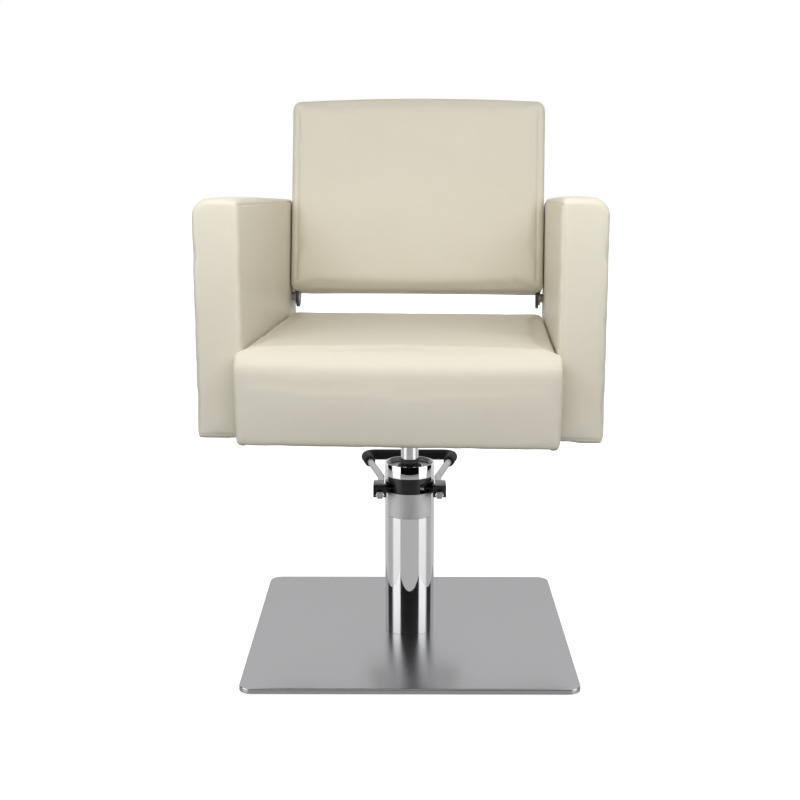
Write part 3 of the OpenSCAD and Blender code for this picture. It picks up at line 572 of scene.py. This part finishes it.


# Sewn lines: the mesh is refined beside each line and drawn in along it, with small puckers, and shade is painted
# along each groove, darker the deeper the groove
def sew(piece, paths, depth, width=0.0016, pucker=0.0003, seed=1, shade=1.0):
    lines = [[point for point, _ in onSurface(piece, path)] for path in paths]
    flat = [p for line in lines for p in line]
    tree = KDTree(len(flat))
    for i, p in enumerate(flat):
        tree.insert(p, i)
    tree.balance()
    for band in sewSet["bands"]:
        openMesh(piece)
        mesh = bmesh.from_edit_mesh(piece.data)
        for face in mesh.faces:
            if tree.find(face.calc_center_median())[2] < width * band:
                face.select_set(True)
        bmesh.update_edit_mesh(piece.data)
        bpy.ops.mesh.subdivide(number_cuts=1, smoothness=0.0)
        closeMesh()
    seamShade = piece.data.attributes.get("seamShade") or piece.data.attributes.new("seamShade", "FLOAT", "POINT")
    count = len(piece.data.vertices)
    places, normals, seamShadeMarks = np.empty(count * 3), np.empty(count * 3), np.zeros(count)
    piece.data.vertices.foreach_get("co", places)
    piece.data.vertices.foreach_get("normal", normals)
    seamShade.data.foreach_get("value", seamShadeMarks)
    places, normals = places.reshape(-1, 3), normals.reshape(-1, 3)
    # Painted shade in the groove: darker the deeper the seam is drawn in
    dark = shade * min(1.0, depth / sewSet["fullShadeDepth"])
    for i in range(count):
        _, index, far = tree.find(places[i])
        if far > width * sewSet["reach"]:
            continue
        line = math.exp(-(far / width) ** 2)
        ripple = noise.noise(Vector((index * sewSet["beat"], seed * sewSet["seedStep"], 0.0)))
        ripple *= math.exp(-(far / (width * sewSet["ripple"])) ** 2)
        places[i] -= normals[i] * (depth * line + pucker * ripple)
        seamShadeMarks[i] = max(seamShadeMarks[i], dark * math.exp(-(far / (width * sewSet["line"])) ** 2))
    piece.data.vertices.foreach_set("co", places.ravel())
    seamShade.data.foreach_set("value", seamShadeMarks)
    piece.data.update()


stitchSet = {"length": 0.0030, "gap": 0.0014, "radius": 0.00038, "lift": 0.0001, "sides": 6, "round": 0.6,
             "pathStep": 0.0005}


# Stitches lie end to end along lines, each a small rounded bar, all in one piece
def stitchLine(name, piece, paths, body, place):
    s = stitchSet
    master = addTube(name, (0, 0, -s["length"] / 2), (0, 0, s["length"] / 2), s["radius"], s["sides"])
    bevelEdges(master, lambda a, b: abs(a.z - b.z) < nearly, s["radius"] * s["round"], 1)
    points = np.array([v.co for v in master.data.vertices])
    faces = [list(p.vertices) for p in master.data.polygons]
    bpy.data.objects.remove(master)
    verts, polys = [], []
    for path in paths:
        spots = onSurface(piece, path)
        gone = 0.0
        for (one, up), (two, _) in zip(spots, spots[1:]):
            gone += (two - one).length
            if gone < s["length"] + s["gap"] or (two - one).length < tiny:
                continue
            gone = 0.0
            turn = (two - one).normalized().to_track_quat("Z", "Y").to_matrix()
            middle = one + up * s["lift"]
            base = len(verts)
            verts += [tuple(turn @ Vector(p) + middle) for p in points]
            polys += [[base + i for i in f] for f in faces]
    mesh = bpy.data.meshes.new(name)
    mesh.from_pydata(verts, [], polys)
    made = bpy.data.objects.new(name, mesh)
    bpy.context.scene.collection.objects.link(made)
    smoothBy(made, 60)
    settle(made, body, thread, place=place)


cushionSmooth = 80

# Heights above the middle belong to the top. A hem is its reach, height, scale and seed
seatSet = {"front": -0.342, "top": 0.556, "middle": 0.5, "inset": 0.004, "slope": math.radians(1.6),
           "noseRadius": 0.034, "rearRadius": 0.018, "footRadius": 0.007, "edgeRadius": 0.012,
           "voxel": 0.006, "held": 0.004, "pressure": 4.0, "cap": (0.0008, 0.0015, 0.002), "frontCap": 0.0004,
           "crown": 0.006, "frontCrown": 0.005, "crownFrom": -0.3, "crownBlend": 0.03,
           "spreadFrom": -0.303, "spreadBlend": 0.018, "spreadHalf": 0.2, "lowSpread": 0.006,
           "highSpread": 0.010, "hang": 0.005, "hem": (0.012, 0.0011, 38.0, 4.7)}


def makeSeat():
    s = seatSet
    low, high = nodeBox("seat_cushion", armchair)
    halfWide, front, rear, top, middle = high.x, s["front"], high.y, s["top"], s["middle"]
    piece = addBlock("seatCushion", (-halfWide, front + s["inset"], low.z), (halfWide, rear - s["inset"], top))
    for vertex in piece.data.vertices:
        if vertex.co.z > middle:
            vertex.co.z -= math.tan(s["slope"]) * (vertex.co.y - front)
    across = lambda a, b: abs(a.x - b.x) > halfWide
    bevelEdges(piece, lambda a, b: across(a, b) and a.z > middle and a.y < 0, s["noseRadius"], 10)
    bevelEdges(piece, lambda a, b: across(a, b) and a.z > middle and a.y > 0, s["rearRadius"], 6)
    bevelEdges(piece, lambda a, b: across(a, b) and a.z < middle, s["footRadius"], 4)
    side = lambda a, b: abs(a.x - b.x) < tiny and abs(abs(a.x) - halfWide) < nearly
    bevelEdges(piece, side, s["edgeRadius"], 5)
    capX, capY, capZ = s["cap"]
    caps = lambda p: (capX, s["frontCap"] if p[1] < 0 else capY, capZ)
    inflate(piece, s["voxel"], lambda p: p[2] < low.z + s["held"], caps, s["pressure"])
    for vertex in piece.data.vertices:
        p = vertex.co
        wide = hump(p.x / halfWide)
        along = hump((p.y - (front + rear) / 2) / ((rear - front) / 2))
        up = (p.z - low.z) / (top - low.z)
        p.z += s["crown"] * wide * along * max(0, up) ** 3
        fore = clamp((s["crownFrom"] - p.y) / s["crownBlend"])
        p.y -= s["frontCrown"] * wide * hump(2 * up - 1) * fore
        spread = clamp((s["spreadFrom"] - p.y) / s["spreadBlend"])
        wider = s["lowSpread"] + (s["highSpread"] - s["lowSpread"]) * up
        p.x += math.copysign(wider, p.x) * spread ** 2 * (3 - 2 * spread) * min(1, abs(p.x) / s["spreadHalf"])
    hangRim(piece, (-halfWide, front), (halfWide, rear), low.z, s["hang"])
    waveHem(piece, low.z - s["hang"], *s["hem"])
    smoothBy(piece, cushionSmooth)
    settle(piece, "armchair", cream, ["seat_cushion"], armchair)


# Both arms: the padded form, its seams, and the stitches beside them
armSet = {"inner": 0.2325, "outer": 0.3028, "front": -0.300, "rear": 0.290, "top": 0.774, "middle": 0.7,
          "inset": 0.0008, "innerInset": 0.0004, "slope": math.radians(2.9), "shoulder": 0.024,
          "innerTop": 0.010, "edge": 0.010, "voxel": 0.006, "held": 0.004, "pressure": 4.0,
          "cap": (0.0016, 0.0016, 0.0015), "innerCap": 0.0006, "innerWide": 0.02, "crown": 0.003,
          "crownAt": 0.262, "crownHalf": 0.036, "crownReach": 0.05, "crownPeak": 0.65, "crownLeast": 0.25,
          "hang": 0.003, "baseLift": 0.0015, "seamZ": 0.7625, "seamSlope": math.radians(2.4),
          "seamSide": 0.0025, "seamFoot": 0.006, "turn": 0.012,
          "turnSpots": ((0.0005, 0.006, 0.0005), (0.003, 0.002, 0.004)), "hemUp": 0.009, "hemIn": 0.012,
          "stitchIn": 0.0035, "stitchEnd": 0.014, "stitchTop": 0.016, "stitchFoot": 0.008}
rightArm = {"name": "armRight", "node": "arm_cover_right", "lift": 0.003, "hem": (0.02, 0.0045, 20.0, 2.3),
            "seamDepth": 0.0006, "seed": 3, "frontSeam": True, "mirrored": False}
leftArm = {"name": "armLeft", "node": "arm_cover_left", "lift": 0.0, "hem": (0.012, 0.0014, 45.0, 0.3),
           "seamDepth": 0.0009, "seed": 5, "frontSeam": False, "mirrored": True}
armFoot = nodeBox("arm_cover_right", armchair)[0].z


# The padded form of the right arm, drawn in the armchair's frame
def padArm():
    s = armSet
    inner, outer, front, rear, foot, top = s["inner"], s["outer"], s["front"], s["rear"], armFoot, s["top"]
    inset, middle, halfway = s["inset"], s["middle"], (inner + outer) / 2
    piece = addBlock("armPad", (inner + s["innerInset"], front + inset, foot),
                     (outer - inset, rear - inset, top - inset))
    drop = math.tan(s["slope"])
    for vertex in piece.data.vertices:
        if vertex.co.z > middle:
            vertex.co.z -= drop * (vertex.co.y - front)
    along = lambda a, b: abs(a.y - b.y) > (rear - front) / 2
    bevelEdges(piece, lambda a, b: along(a, b) and a.z > middle and a.x > halfway, s["shoulder"], 10)
    bevelEdges(piece, lambda a, b: along(a, b) and a.z > middle and a.x < halfway, s["innerTop"], 5)
    for y in (front + inset, rear - inset):
        bevelEdges(piece, lambda a, b: abs(a.y - y) < nearly and abs(b.y - y) < nearly, s["edge"], 5)
    bevelEdges(piece, lambda a, b: along(a, b) and a.z < middle, s["edge"], 4)
    capX, capY, capZ = s["cap"]
    caps = lambda p: (s["innerCap"] if p[0] < inner + s["innerWide"] else capX, capY, capZ)
    inflate(piece, s["voxel"], lambda p: p[2] < foot + s["held"], caps, s["pressure"])
    least = s["crownLeast"]
    for vertex in piece.data.vertices:
        p = vertex.co
        back = clamp((p.y - front) / (rear - front))
        line = top - drop * (p.y - front)
        up = clamp(1 - (line - p.z) / s["crownReach"])
        across = hump((p.x - s["crownAt"]) / s["crownHalf"])
        p.z += s["crown"] * math.sin(math.pi * back ** s["crownPeak"]) * up ** 2 * (least + (1 - least) * across)
    hangRim(piece, (inner, front), (outer, rear), foot, s["hang"], s["baseLift"])
    return piece


# Each arm is a copy of the padded form with its own height, hem and seams. The left one is mirrored
def makeArm(arm, form):
    s = armSet
    piece = duplicate(form)
    piece.name = arm["name"]
    inner, outer, front, rear, foot = s["inner"], s["outer"], s["front"], s["rear"], armFoot - s["hang"]
    for vertex in piece.data.vertices:
        vertex.co.z += arm["lift"] * (vertex.co.z - foot) / (s["top"] - foot)
    waveHem(piece, foot, *arm["hem"])
    drop, turn = math.tan(s["seamSlope"]), s["turn"]
    seamX, seamZ = inner + s["seamSide"], s["seamZ"] + arm["lift"]
    rearZ, seamFoot = seamZ - drop * (rear - front), foot + s["seamFoot"]
    innerLine = [(inner, rear - turn, rearZ), (inner, front + turn, seamZ - drop * turn)]
    frontLine = [(seamX, front, seamZ - turn), (seamX, front, seamFoot)]
    turnLine = [(inner + x, front + y, seamZ - z) for x, y, z in s["turnSpots"]] + [frontLine[0]]
    rearLine = [(seamX, rear, rearZ - turn), (seamX, rear, seamFoot)]
    hemZ, hemX = foot + s["hemUp"], inner + s["hemIn"]
    hemLine = [(hemX, front, hemZ), (outer, front, hemZ), (outer, rear, hemZ), (hemX, rear, hemZ)]
    stitchX, stitchEnd = seamX + s["stitchIn"], s["stitchEnd"]
    topLine = [(inner, rear - stitchEnd, rearZ - s["stitchIn"]),
               (inner, front + stitchEnd, seamZ - s["stitchIn"] - drop * stitchEnd)]
    downLine = [(stitchX, front, seamZ - s["stitchTop"]), (stitchX, front, foot + s["stitchFoot"])]
    lines, hems, stitched = [innerLine, rearLine], [hemLine], [topLine]
    if arm["frontSeam"]:
        lines[0] = innerLine + turnLine
        hems.append(frontLine)
        stitched.append(downLine)
    sew(piece, [evenPath(line) for line in lines], depth=arm["seamDepth"], pucker=0.0004, seed=arm["seed"])
    sew(piece, [evenPath(line) for line in hems], depth=0.0004, seed=arm["seed"] + 1)
    stitchPaths = [evenPath(line, stitchSet["pathStep"]) for line in stitched]
    if arm["mirrored"]:
        for vertex in piece.data.vertices:
            vertex.co.x = -vertex.co.x
        openWhole(piece)
        bpy.ops.mesh.flip_normals()
        closeMesh()
        stitchPaths = [[Vector((-p.x, p.y, p.z)) for p in path] for path in stitchPaths]
    smoothBy(piece, cushionSmooth)
    stitchLine(arm["name"] + "Stitches", piece, stitchPaths, "armchair", armchair)
    settle(piece, "armchair", cream, [arm["node"]], armchair)


padSet = {"halfWide": 0.2312, "deep": 0.070, "tall": 0.347, "topUp": 0.004, "inset": 0.001, "corner": 0.016,
          "lowCorner": 0.012, "edge": 0.013, "rearEdge": 0.006, "voxel": 0.006, "held": 0.004, "pressure": 4.0,
          "cap": (0.0006, 0.0035, 0.0012), "crown": 0.007, "arch": 0.0065, "tuck": 0.010, "tuckReach": 0.035,
          "seamIn": 0.0125, "seamEnd": 0.02}


def makeBack():
    s = padSet
    halfWide, deep, tall, inset = s["halfWide"], s["deep"], s["tall"] + s["topUp"], s["inset"]
    piece = addBlock("backCushion", (-halfWide, inset, inset), (halfWide, deep, tall - inset))
    upright = lambda a, b: abs(a.y - b.y) > deep / 2
    bevelEdges(piece, lambda a, b: upright(a, b) and a.z > tall / 2, s["corner"], 8)
    bevelEdges(piece, lambda a, b: upright(a, b) and a.z < tall / 2, s["lowCorner"], 6)
    bevelEdges(piece, lambda a, b: a.y < deep / 2 and b.y < deep / 2, s["edge"], 6)
    bevelEdges(piece, lambda a, b: a.y > deep - nearly and b.y > deep - nearly, s["rearEdge"], 3)
    inflate(piece, s["voxel"], lambda p: p[1] > deep - s["held"], lambda p: s["cap"], s["pressure"])
    for vertex in piece.data.vertices:
        p = vertex.co
        wide, high, fore = hump(p.x / halfWide), hump(2 * p.z / tall - 1), clamp(1 - p.y / deep)
        p.y -= s["crown"] * fore * fore * wide * high
        p.z += s["arch"] * wide * clamp(p.z / tall) ** 4
        p.y += s["tuck"] * fore * max(0.0, 1 - p.z / s["tuckReach"]) ** 2
    seamX = halfWide - s["seamIn"]
    paths = [evenPath([(x, 0, s["seamEnd"]), (x, 0, tall - s["seamEnd"])]) for x in (-seamX, seamX)]
    # The back's seams get a lighter painted shade in their grooves
    sew(piece, paths, depth=0.0011, width=0.003, seed=9, shade=0.35)
    smoothBy(piece, cushionSmooth)
    settle(piece, "back", cream, ["back_cushion"], backPlace)


panelSet = {"frontInset": 0.0005, "rearInset": 0.0015, "corner": 0.015, "edge": 0.005, "voxel": 0.005,
            "held": 0.003, "pressure": 3.0, "cap": (0.001, 0.002, 0.001)}


def makeRearPanel():
    s = panelSet
    low, high = nodeBox("rear_panel", backPlace)
    near, far = low.y + s["frontInset"], high.y - s["rearInset"]
    piece = addBlock("rearPanel", (low.x, near, low.z), (high.x, far, high.z))
    bevelEdges(piece, lambda a, b: abs(a.y - b.y) > (far - near) / 2, s["corner"], 6)
    bevelEdges(piece, lambda a, b: a.y > far - nearly and b.y > far - nearly, s["edge"], 4)
    inflate(piece, s["voxel"], lambda p: p[1] < low.y + s["held"], lambda p: s["cap"], s["pressure"])
    smoothBy(piece, cushionSmooth)
    settle(piece, "back", cream, ["rear_panel"], backPlace)


print("making the seat")
makeSeat()
print("making the arms")
armForm = padArm()
makeArm(rightArm, armForm)
makeArm(leftArm, armForm)
bpy.data.objects.remove(armForm)
print("making the back")
makeBack()
makeRearPanel()


# Foot

footSet = {"corner": 0.022, "fold": 0.0022, "sheet": 0.0012, "hole": 0.0388, "past": 0.01, "down": -0.9}


def makeFoot():
    s = footSet
    low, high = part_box("foot_cover")
    piece = addBlock("footCover", low, high)
    bevelEdges(piece, lambda a, b: abs(a.z - b.z) > nearly, s["corner"], 12)
    bevelEdges(piece, lambda a, b: a.z > high.z - nearly and b.z > high.z - nearly, s["fold"], 5)
    pickFaces(piece, lambda normal: normal.z < s["down"])
    bpy.ops.mesh.delete(type="FACE")
    closeMesh()
    solidify(piece, s["sheet"])
    cutter = addTube("footHole", (0, 0, low.z - s["past"]), (0, 0, high.z + s["past"]), s["hole"], 64)
    carve(piece, [cutter])
    smoothBy(piece, 35)
    settle(piece, "base", finishes["brushed_steel"], ["foot_cover"])


# Staples hold the dust cover round its edge. Each lies a little askew
stapleSet = {"wide": 0.010, "leg": 0.0006, "thick": 0.0009, "step": 0.034, "inset": 0.006, "margin": 0.05,
             "proud": 0.00005, "shiftX": 0.001, "shiftY": 0.0006, "askew": 0.12}


def makeStaples():
    low, high = nodeBox("dust_cover", armchair)
    s = stapleSet
    master = addBlock("staple", (-s["wide"] / 2, -s["thick"] / 2, -s["leg"]), (s["wide"] / 2, s["thick"] / 2, 0))
    bevelEdges(master, lambda a, b: min(a.z, b.z) < -s["leg"] / 2, s["leg"] * 0.4, 1)
    spots = []
    for y in (low.y + s["inset"], high.y - s["inset"]):
        count = int((high.x - low.x - s["margin"]) / s["step"])
        spots += [((i - (count - 1) / 2) * s["step"], y, 0.0) for i in range(count)]
    for x in (low.x + s["inset"], high.x - s["inset"]):
        count = int((high.y - low.y - s["margin"]) / s["step"])
        middle = (low.y + high.y) / 2
        spots += [(x, middle + (i - (count - 1) / 2) * s["step"], math.pi / 2) for i in range(count)]
    random.seed(11)
    copies = []
    for x, y, turn in spots:
        copy = duplicate(master)
        copy.location = (x + random.uniform(-s["shiftX"], s["shiftX"]),
                         y + random.uniform(-s["shiftY"], s["shiftY"]), low.z + s["proud"])
        copy.rotation_euler = (0, 0, turn + random.uniform(-s["askew"], s["askew"]))
        makeActive(copy)
        applyPlace()
        copies.append(copy)
    bpy.data.objects.remove(master)
    staples = joinPieces("staples", copies)
    smoothBy(staples, 40)
    settle(staples, "armchair", finishes["steel"], place=armchair)


makeStaples()
print("making the foot and column")
makeFoot()

columnSet = {"radius": 0.0425, "wall": 0.0014, "chamfer": 0.0003, "windowHalf": math.radians(60),
             "windowLow": 0.219, "reach": 0.06, "past": 0.01, "axleY": -0.024, "axleZ": 0.2705,
             "axleHole": 0.0047}


def makeColumnSleeve():
    s = columnSet
    low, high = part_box("column_sleeve")
    profile = chamfered(s["radius"] - s["wall"], s["radius"], low.z, high.z, s["chamfer"])
    piece = spinRound("columnSleeve", profile, 192)
    reach, axle = s["reach"], (s["axleY"], s["axleZ"])
    wedge = addBlock("window", (-1, -reach, s["windowLow"]), (1, 0, high.z + s["past"]))
    for vertex in wedge.data.vertices:
        front = vertex.co.y < -reach / 2
        half = reach * math.tan(s["windowHalf"]) if front else nearly
        vertex.co.x = math.copysign(half, vertex.co.x)
    notch = addTube("notch", (-reach, *axle), (reach, *axle), s["axleHole"], 32)
    carve(piece, [wedge, notch])
    smoothBy(piece, 30)
    settle(piece, "base", finishes["chrome"], ["column_sleeve"])


plateSet = {"inner": 0.0407, "outer": 0.0427, "chamfer": 0.0003, "sideGap": 0.006}


# The light plate in the window's lower part, a thin curved sheet
def makeWindowPlate():
    s = plateSet
    low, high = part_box("window_plate")
    half = columnSet["windowHalf"] - s["sideGap"]
    profile = chamfered(s["inner"], s["outer"], low.z, high.z, s["chamfer"])
    piece = spinRound("windowPlate", profile, 48, -math.pi / 2 - half, 2 * half)
    smoothBy(piece, 30)
    finish = metal("silverPaint", (0.74, 0.74, 0.75), 0.6, metallic=0.85, strength=0.03)
    settle(piece, "base", finish, ["window_plate"])


capSet = {"outer": 0.0425, "edge": 0.0007, "lip": 0.0404, "lipIn": 0.0397, "dish": 0.0367, "hole": 0.0202,
          "floor": 0.303, "under": 0.300, "bore": 0.0411, "cut": 0.0002, "edgeMiddle": 0.35, "lipCut": 0.0004,
          "dishCut": 0.0006, "dishRise": 0.0003}


def makeColumnCap():
    low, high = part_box("column_cap")
    c = capSet
    outer, edge, cut = c["outer"], c["edge"], c["cut"]
    profile = [(c["bore"], low.z), (outer - cut, low.z), (outer, low.z + cut), (outer, high.z - edge),
               (outer - cut, high.z - edge * c["edgeMiddle"]), (outer - edge, high.z), (c["lip"], high.z),
               (c["lip"] - c["lipCut"], high.z - cut), (c["lipIn"], high.z - edge),
               (c["dish"], c["floor"] + c["dishRise"]), (c["dish"] - c["dishCut"], c["floor"]),
               (c["hole"], c["floor"]), (c["hole"], c["under"]), (c["bore"], c["under"])]
    piece = spinRound("columnCap", profile, 160)
    smoothBy(piece, 28)
    settle(piece, "base", dishedChrome(), ["column_cap"])


gripSet = {"legX": 0.0505, "z": 0.262, "bendY": 0.077, "bend": 0.030, "splay": math.radians(11.5),
           "corner": 0.016, "barY": 0.247, "length": 0.038, "radius": 0.010, "groove": 0.0009, "ridges": 20,
           "ridgeSides": 4, "rim": 0.1, "rimScale": 0.9, "cornerSteps": 12}


# The rubber grip: a ridged ring runs along one leg's end, round the corner, across and back
def makePedalGrip():
    g = gripSet
    lean, z, r, sides = g["splay"], g["z"], g["corner"], g["ridgeSides"]
    bendX = g["legX"] + g["bend"] * (1 - math.cos(lean))
    bendEnd = g["bendY"] + g["bend"] * math.sin(lean)
    cornerY = g["barY"] - r * (1 + math.sin(lean))
    barX = bendX + (cornerY - bendEnd) * math.tan(lean) - r * math.cos(lean)
    along = Vector((math.sin(lean), math.cos(lean), 0))
    first = Vector((barX + r * math.cos(lean), cornerY, z)) - along * g["length"]
    deselectAll()
    bpy.ops.mesh.primitive_circle_add(vertices=sides * g["ridges"], radius=g["radius"], location=first,
                                      rotation=along.to_track_quat("Z", "Y").to_euler())
    piece = bpy.context.object
    piece.name = "pedalGrip"
    applyPlace()
    for vertex in piece.data.vertices:
        if vertex.index % sides == sides - 1:
            vertex.co = first + (vertex.co - first) * (1 - g["groove"] / g["radius"])
    openWhole(piece, "VERT")
    rim, scale = g["radius"] * g["rim"], g["rimScale"]
    push = lambda way: bpy.ops.mesh.extrude_region_move(TRANSFORM_OT_translate={"value": way})
    resize = lambda size, about: bpy.ops.transform.resize(value=(size,) * 3, center_override=about)
    corner = lambda x: bpy.ops.mesh.spin(steps=g["cornerSteps"], angle=-(math.pi / 2 + lean),
                                         center=(x, g["barY"] - r, z), axis=(0, 0, 1))
    resize(scale, first)
    push(along * rim)
    resize(1 / scale, first + along * rim)
    push(along * (g["length"] - rim))
    corner(barX)
    push(Vector((-2 * barX, 0, 0)))
    corner(-barX)
    homeward = Vector((along.x, -along.y, 0))
    push(homeward * (g["length"] - rim))
    push(homeward * rim)
    resize(scale, Vector((-first.x, first.y, z)))
    bpy.ops.mesh.select_all(action="SELECT")
    bpy.ops.mesh.fill_holes(sides=0)
    closeMesh()
    recalculate(piece)
    smoothBy(piece, 50)
    settle(piece, "pedal", finishes["rubber"], ["pedal_grip"])


ramSet = {"radius": 0.015, "chamfer": 0.0008}


def makeRam():
    low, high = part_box("ram_rod")
    piece = spinRound("ramRod", chamfered(0, ramSet["radius"], low.z, high.z, ramSet["chamfer"]), 128)
    smoothBy(piece, 30)
    settle(piece, "ram", finishes["chrome"], ["ram_rod"])


makeColumnSleeve()
makeRam()
makeWindowPlate()
makeColumnCap()
makePedalGrip()

print("softening the hardware")
# Bodies and bevels of the hardware whose edges are softened
softSet = {"clamp_block_left": ("pedal", 0.0006), "clamp_block_right": ("pedal", 0.0006),
           "clamp_nuts": ("pedal", 0.0005), "lever_grip": ("release_lever", 0.0022),
           "recline_lever": ("release_lever", 0.0006), "lever_bracket": ("armchair", 0.0005),
           "cross_bars": ("armchair", 0.0008), "seat_hub": ("armchair", 0.0006),
           "hub_bolts": ("armchair", 0.0005), "cross_bar_bolts": ("armchair", 0.0004),
           "arm_base_left": ("armchair", 0.0006), "arm_base_right": ("armchair", 0.0006),
           "pivot_plate_left": ("back", 0.0006), "pivot_plate_right": ("back", 0.0006)}
for nodeName, (bodyName, width) in softSet.items():
    softened(nodeName, bodyName, width)


# Stage: a pale floor, a white world, cards and strips that only reflections see, and soft lamps

stageSet = {"floorSize": 30, "floorDrop": 0.0005, "floorShade": 0.42, "glow": 0.88, "glossyGlow": 0.27,
            "ambient": 0.15, "cardShade": 0.01}


# The floor glows towards the camera, and less towards reflections, so that it shows white
def paleFloor():
    s = stageSet
    bpy.ops.mesh.primitive_plane_add(size=s["floorSize"], location=(0, 0, -s["floorDrop"]))
    floor = bpy.context.object
    floor.name = "floor"
    made = Finish("paleFloor", Roughness=0.12, Specular_IOR_Level=0.25)
    made.shader.inputs["Base Color"].default_value = colour(*(s["floorShade"],) * 3)
    rays = made.node("ShaderNodeLightPath", output="Is Camera Ray")
    glossy, through = rays.twin("Is Glossy Ray"), rays.twin("Is Transmission Ray")
    strength = s["glow"] * rays + s["glossyGlow"] * glossy + s["glow"] * through
    glow = made.node("ShaderNodeEmission", None, {"Strength": strength})
    both = made.node("ShaderNodeAddShader", None, {0: Value(made, made.shader.outputs[0]), 1: glow})
    made.tree.links.new(both.socket, made.tree.nodes["Material Output"].inputs["Surface"])
    floor.data.materials.append(made.material)


# White where it is seen, and dimmer as a light
def whiteWorld(ambient):
    world = bpy.data.worlds.new("studio")
    bpy.context.scene.world = world
    world.use_nodes = True
    tree = world.node_tree
    back = tree.nodes["Background"]
    back.inputs["Color"].default_value = colour(1, 1, 1)
    rays = tree.nodes.new("ShaderNodeLightPath")
    seen = rays.outputs["Is Camera Ray"]
    for kind in ("Is Glossy Ray", "Is Transmission Ray"):
        either = tree.nodes.new("ShaderNodeMath")
        either.operation = "MAXIMUM"
        tree.links.new(seen, either.inputs[0])
        tree.links.new(rays.outputs[kind], either.inputs[1])
        seen = either.outputs[0]
    level = tree.nodes.new("ShaderNodeMapRange")
    level.inputs["To Min"].default_value = ambient
    level.inputs["To Max"].default_value = 1.0
    tree.links.new(seen, level.inputs["Value"])
    tree.links.new(level.outputs[0], back.inputs["Strength"])


# A card that only reflections see, over an arc about the column: dark, or glowing
def card(name, azimuthFrom, azimuthTo, distance, height, glow):
    bpy.ops.mesh.primitive_plane_add(size=1)
    sheet = bpy.context.object
    sheet.name = name
    turns = [math.radians(azimuthFrom), math.radians(azimuthTo)]
    ends = [Vector((math.sin(t) * distance, -math.cos(t) * distance, 0)) for t in turns]
    spots = [ends[0], ends[1], ends[0] + Vector((0, 0, height)), ends[1] + Vector((0, 0, height))]
    for vertex, spot in zip(sheet.data.vertices, spots):
        vertex.co = spot
    made = Finish(name, Roughness=1.0, Specular_IOR_Level=0.0, Emission_Strength=glow)
    made.shader.inputs["Base Color"].default_value = colour(*(stageSet["cardShade"],) * 3)
    made.shader.inputs["Emission Color"].default_value = colour(1, 1, 1)
    sheet.data.materials.append(made.material)
    sheet.visible_camera = sheet.visible_diffuse = sheet.visible_shadow = sheet.visible_transmission = False


def softLamp(name, place, aim, size, energy):
    lamp = bpy.data.lights.new(name, "AREA")
    lamp.shape, lamp.size, lamp.size_y, lamp.energy = "RECTANGLE", size[0], size[1], energy
    holder = bpy.data.objects.new(name, lamp)
    bpy.context.scene.collection.objects.link(holder)
    holder.location = place
    holder.rotation_euler = (Vector(aim) - Vector(place)).to_track_quat("-Z", "Y").to_euler()
    holder.visible_glossy = holder.visible_camera = False


# Azimuths in degrees from the front, distance, height and glow
cardSet = {"frontCard": (-43, 43, 4.0, 2.2, 0.0), "leftCard": (-118, -88, 4.0, 2.2, 0.0),
           "rightCard": (88, 118, 4.0, 2.2, 0.0), "leftStrip": (-82, -44, 3.9, 1.6, 3.2),
           "rightStrip": (44, 82, 3.9, 1.6, 3.2)}
# Place, aim, size and watts
lampSet = {"keyLamp": ((-0.05, -1.0, 1.3), (0, -0.1, 0.6), (2.0, 0.6), 16.5),
           "rearLamp": ((0.4, 2.3, 1.9), (0, 0.1, 0.5), (2.0, 1.2), 26),
           "leftLamp": ((-2.3, 0.2, 1.2), (0, 0, 0.45), (1.4, 1.0), 11),
           "rightLamp": ((2.3, 0.2, 1.2), (0, 0, 0.45), (1.4, 1.0), 11)}

print("setting the stage")
deselectAll()
paleFloor()
whiteWorld(stageSet["ambient"])
for cardName, values in cardSet.items():
    card(cardName, *values)
for lampName, values in lampSet.items():
    softLamp(lampName, *values)

cameraSet = {"place": (-0.005, -2.227, 0.867), "down": 11.4, "turn": 0.3, "lens": 59.967}
bpy.ops.object.camera_add(location=cameraSet["place"])
camera = bpy.context.object
camera.rotation_euler = (math.radians(90 - cameraSet["down"]), 0, math.radians(cameraSet["turn"]))
camera.data.lens, camera.data.sensor_width = cameraSet["lens"], 36
camera.data.clip_start, camera.data.clip_end = 0.01, 50
bpy.context.scene.camera = camera
bpy.context.scene.view_settings.view_transform = "Standard"

print("done")
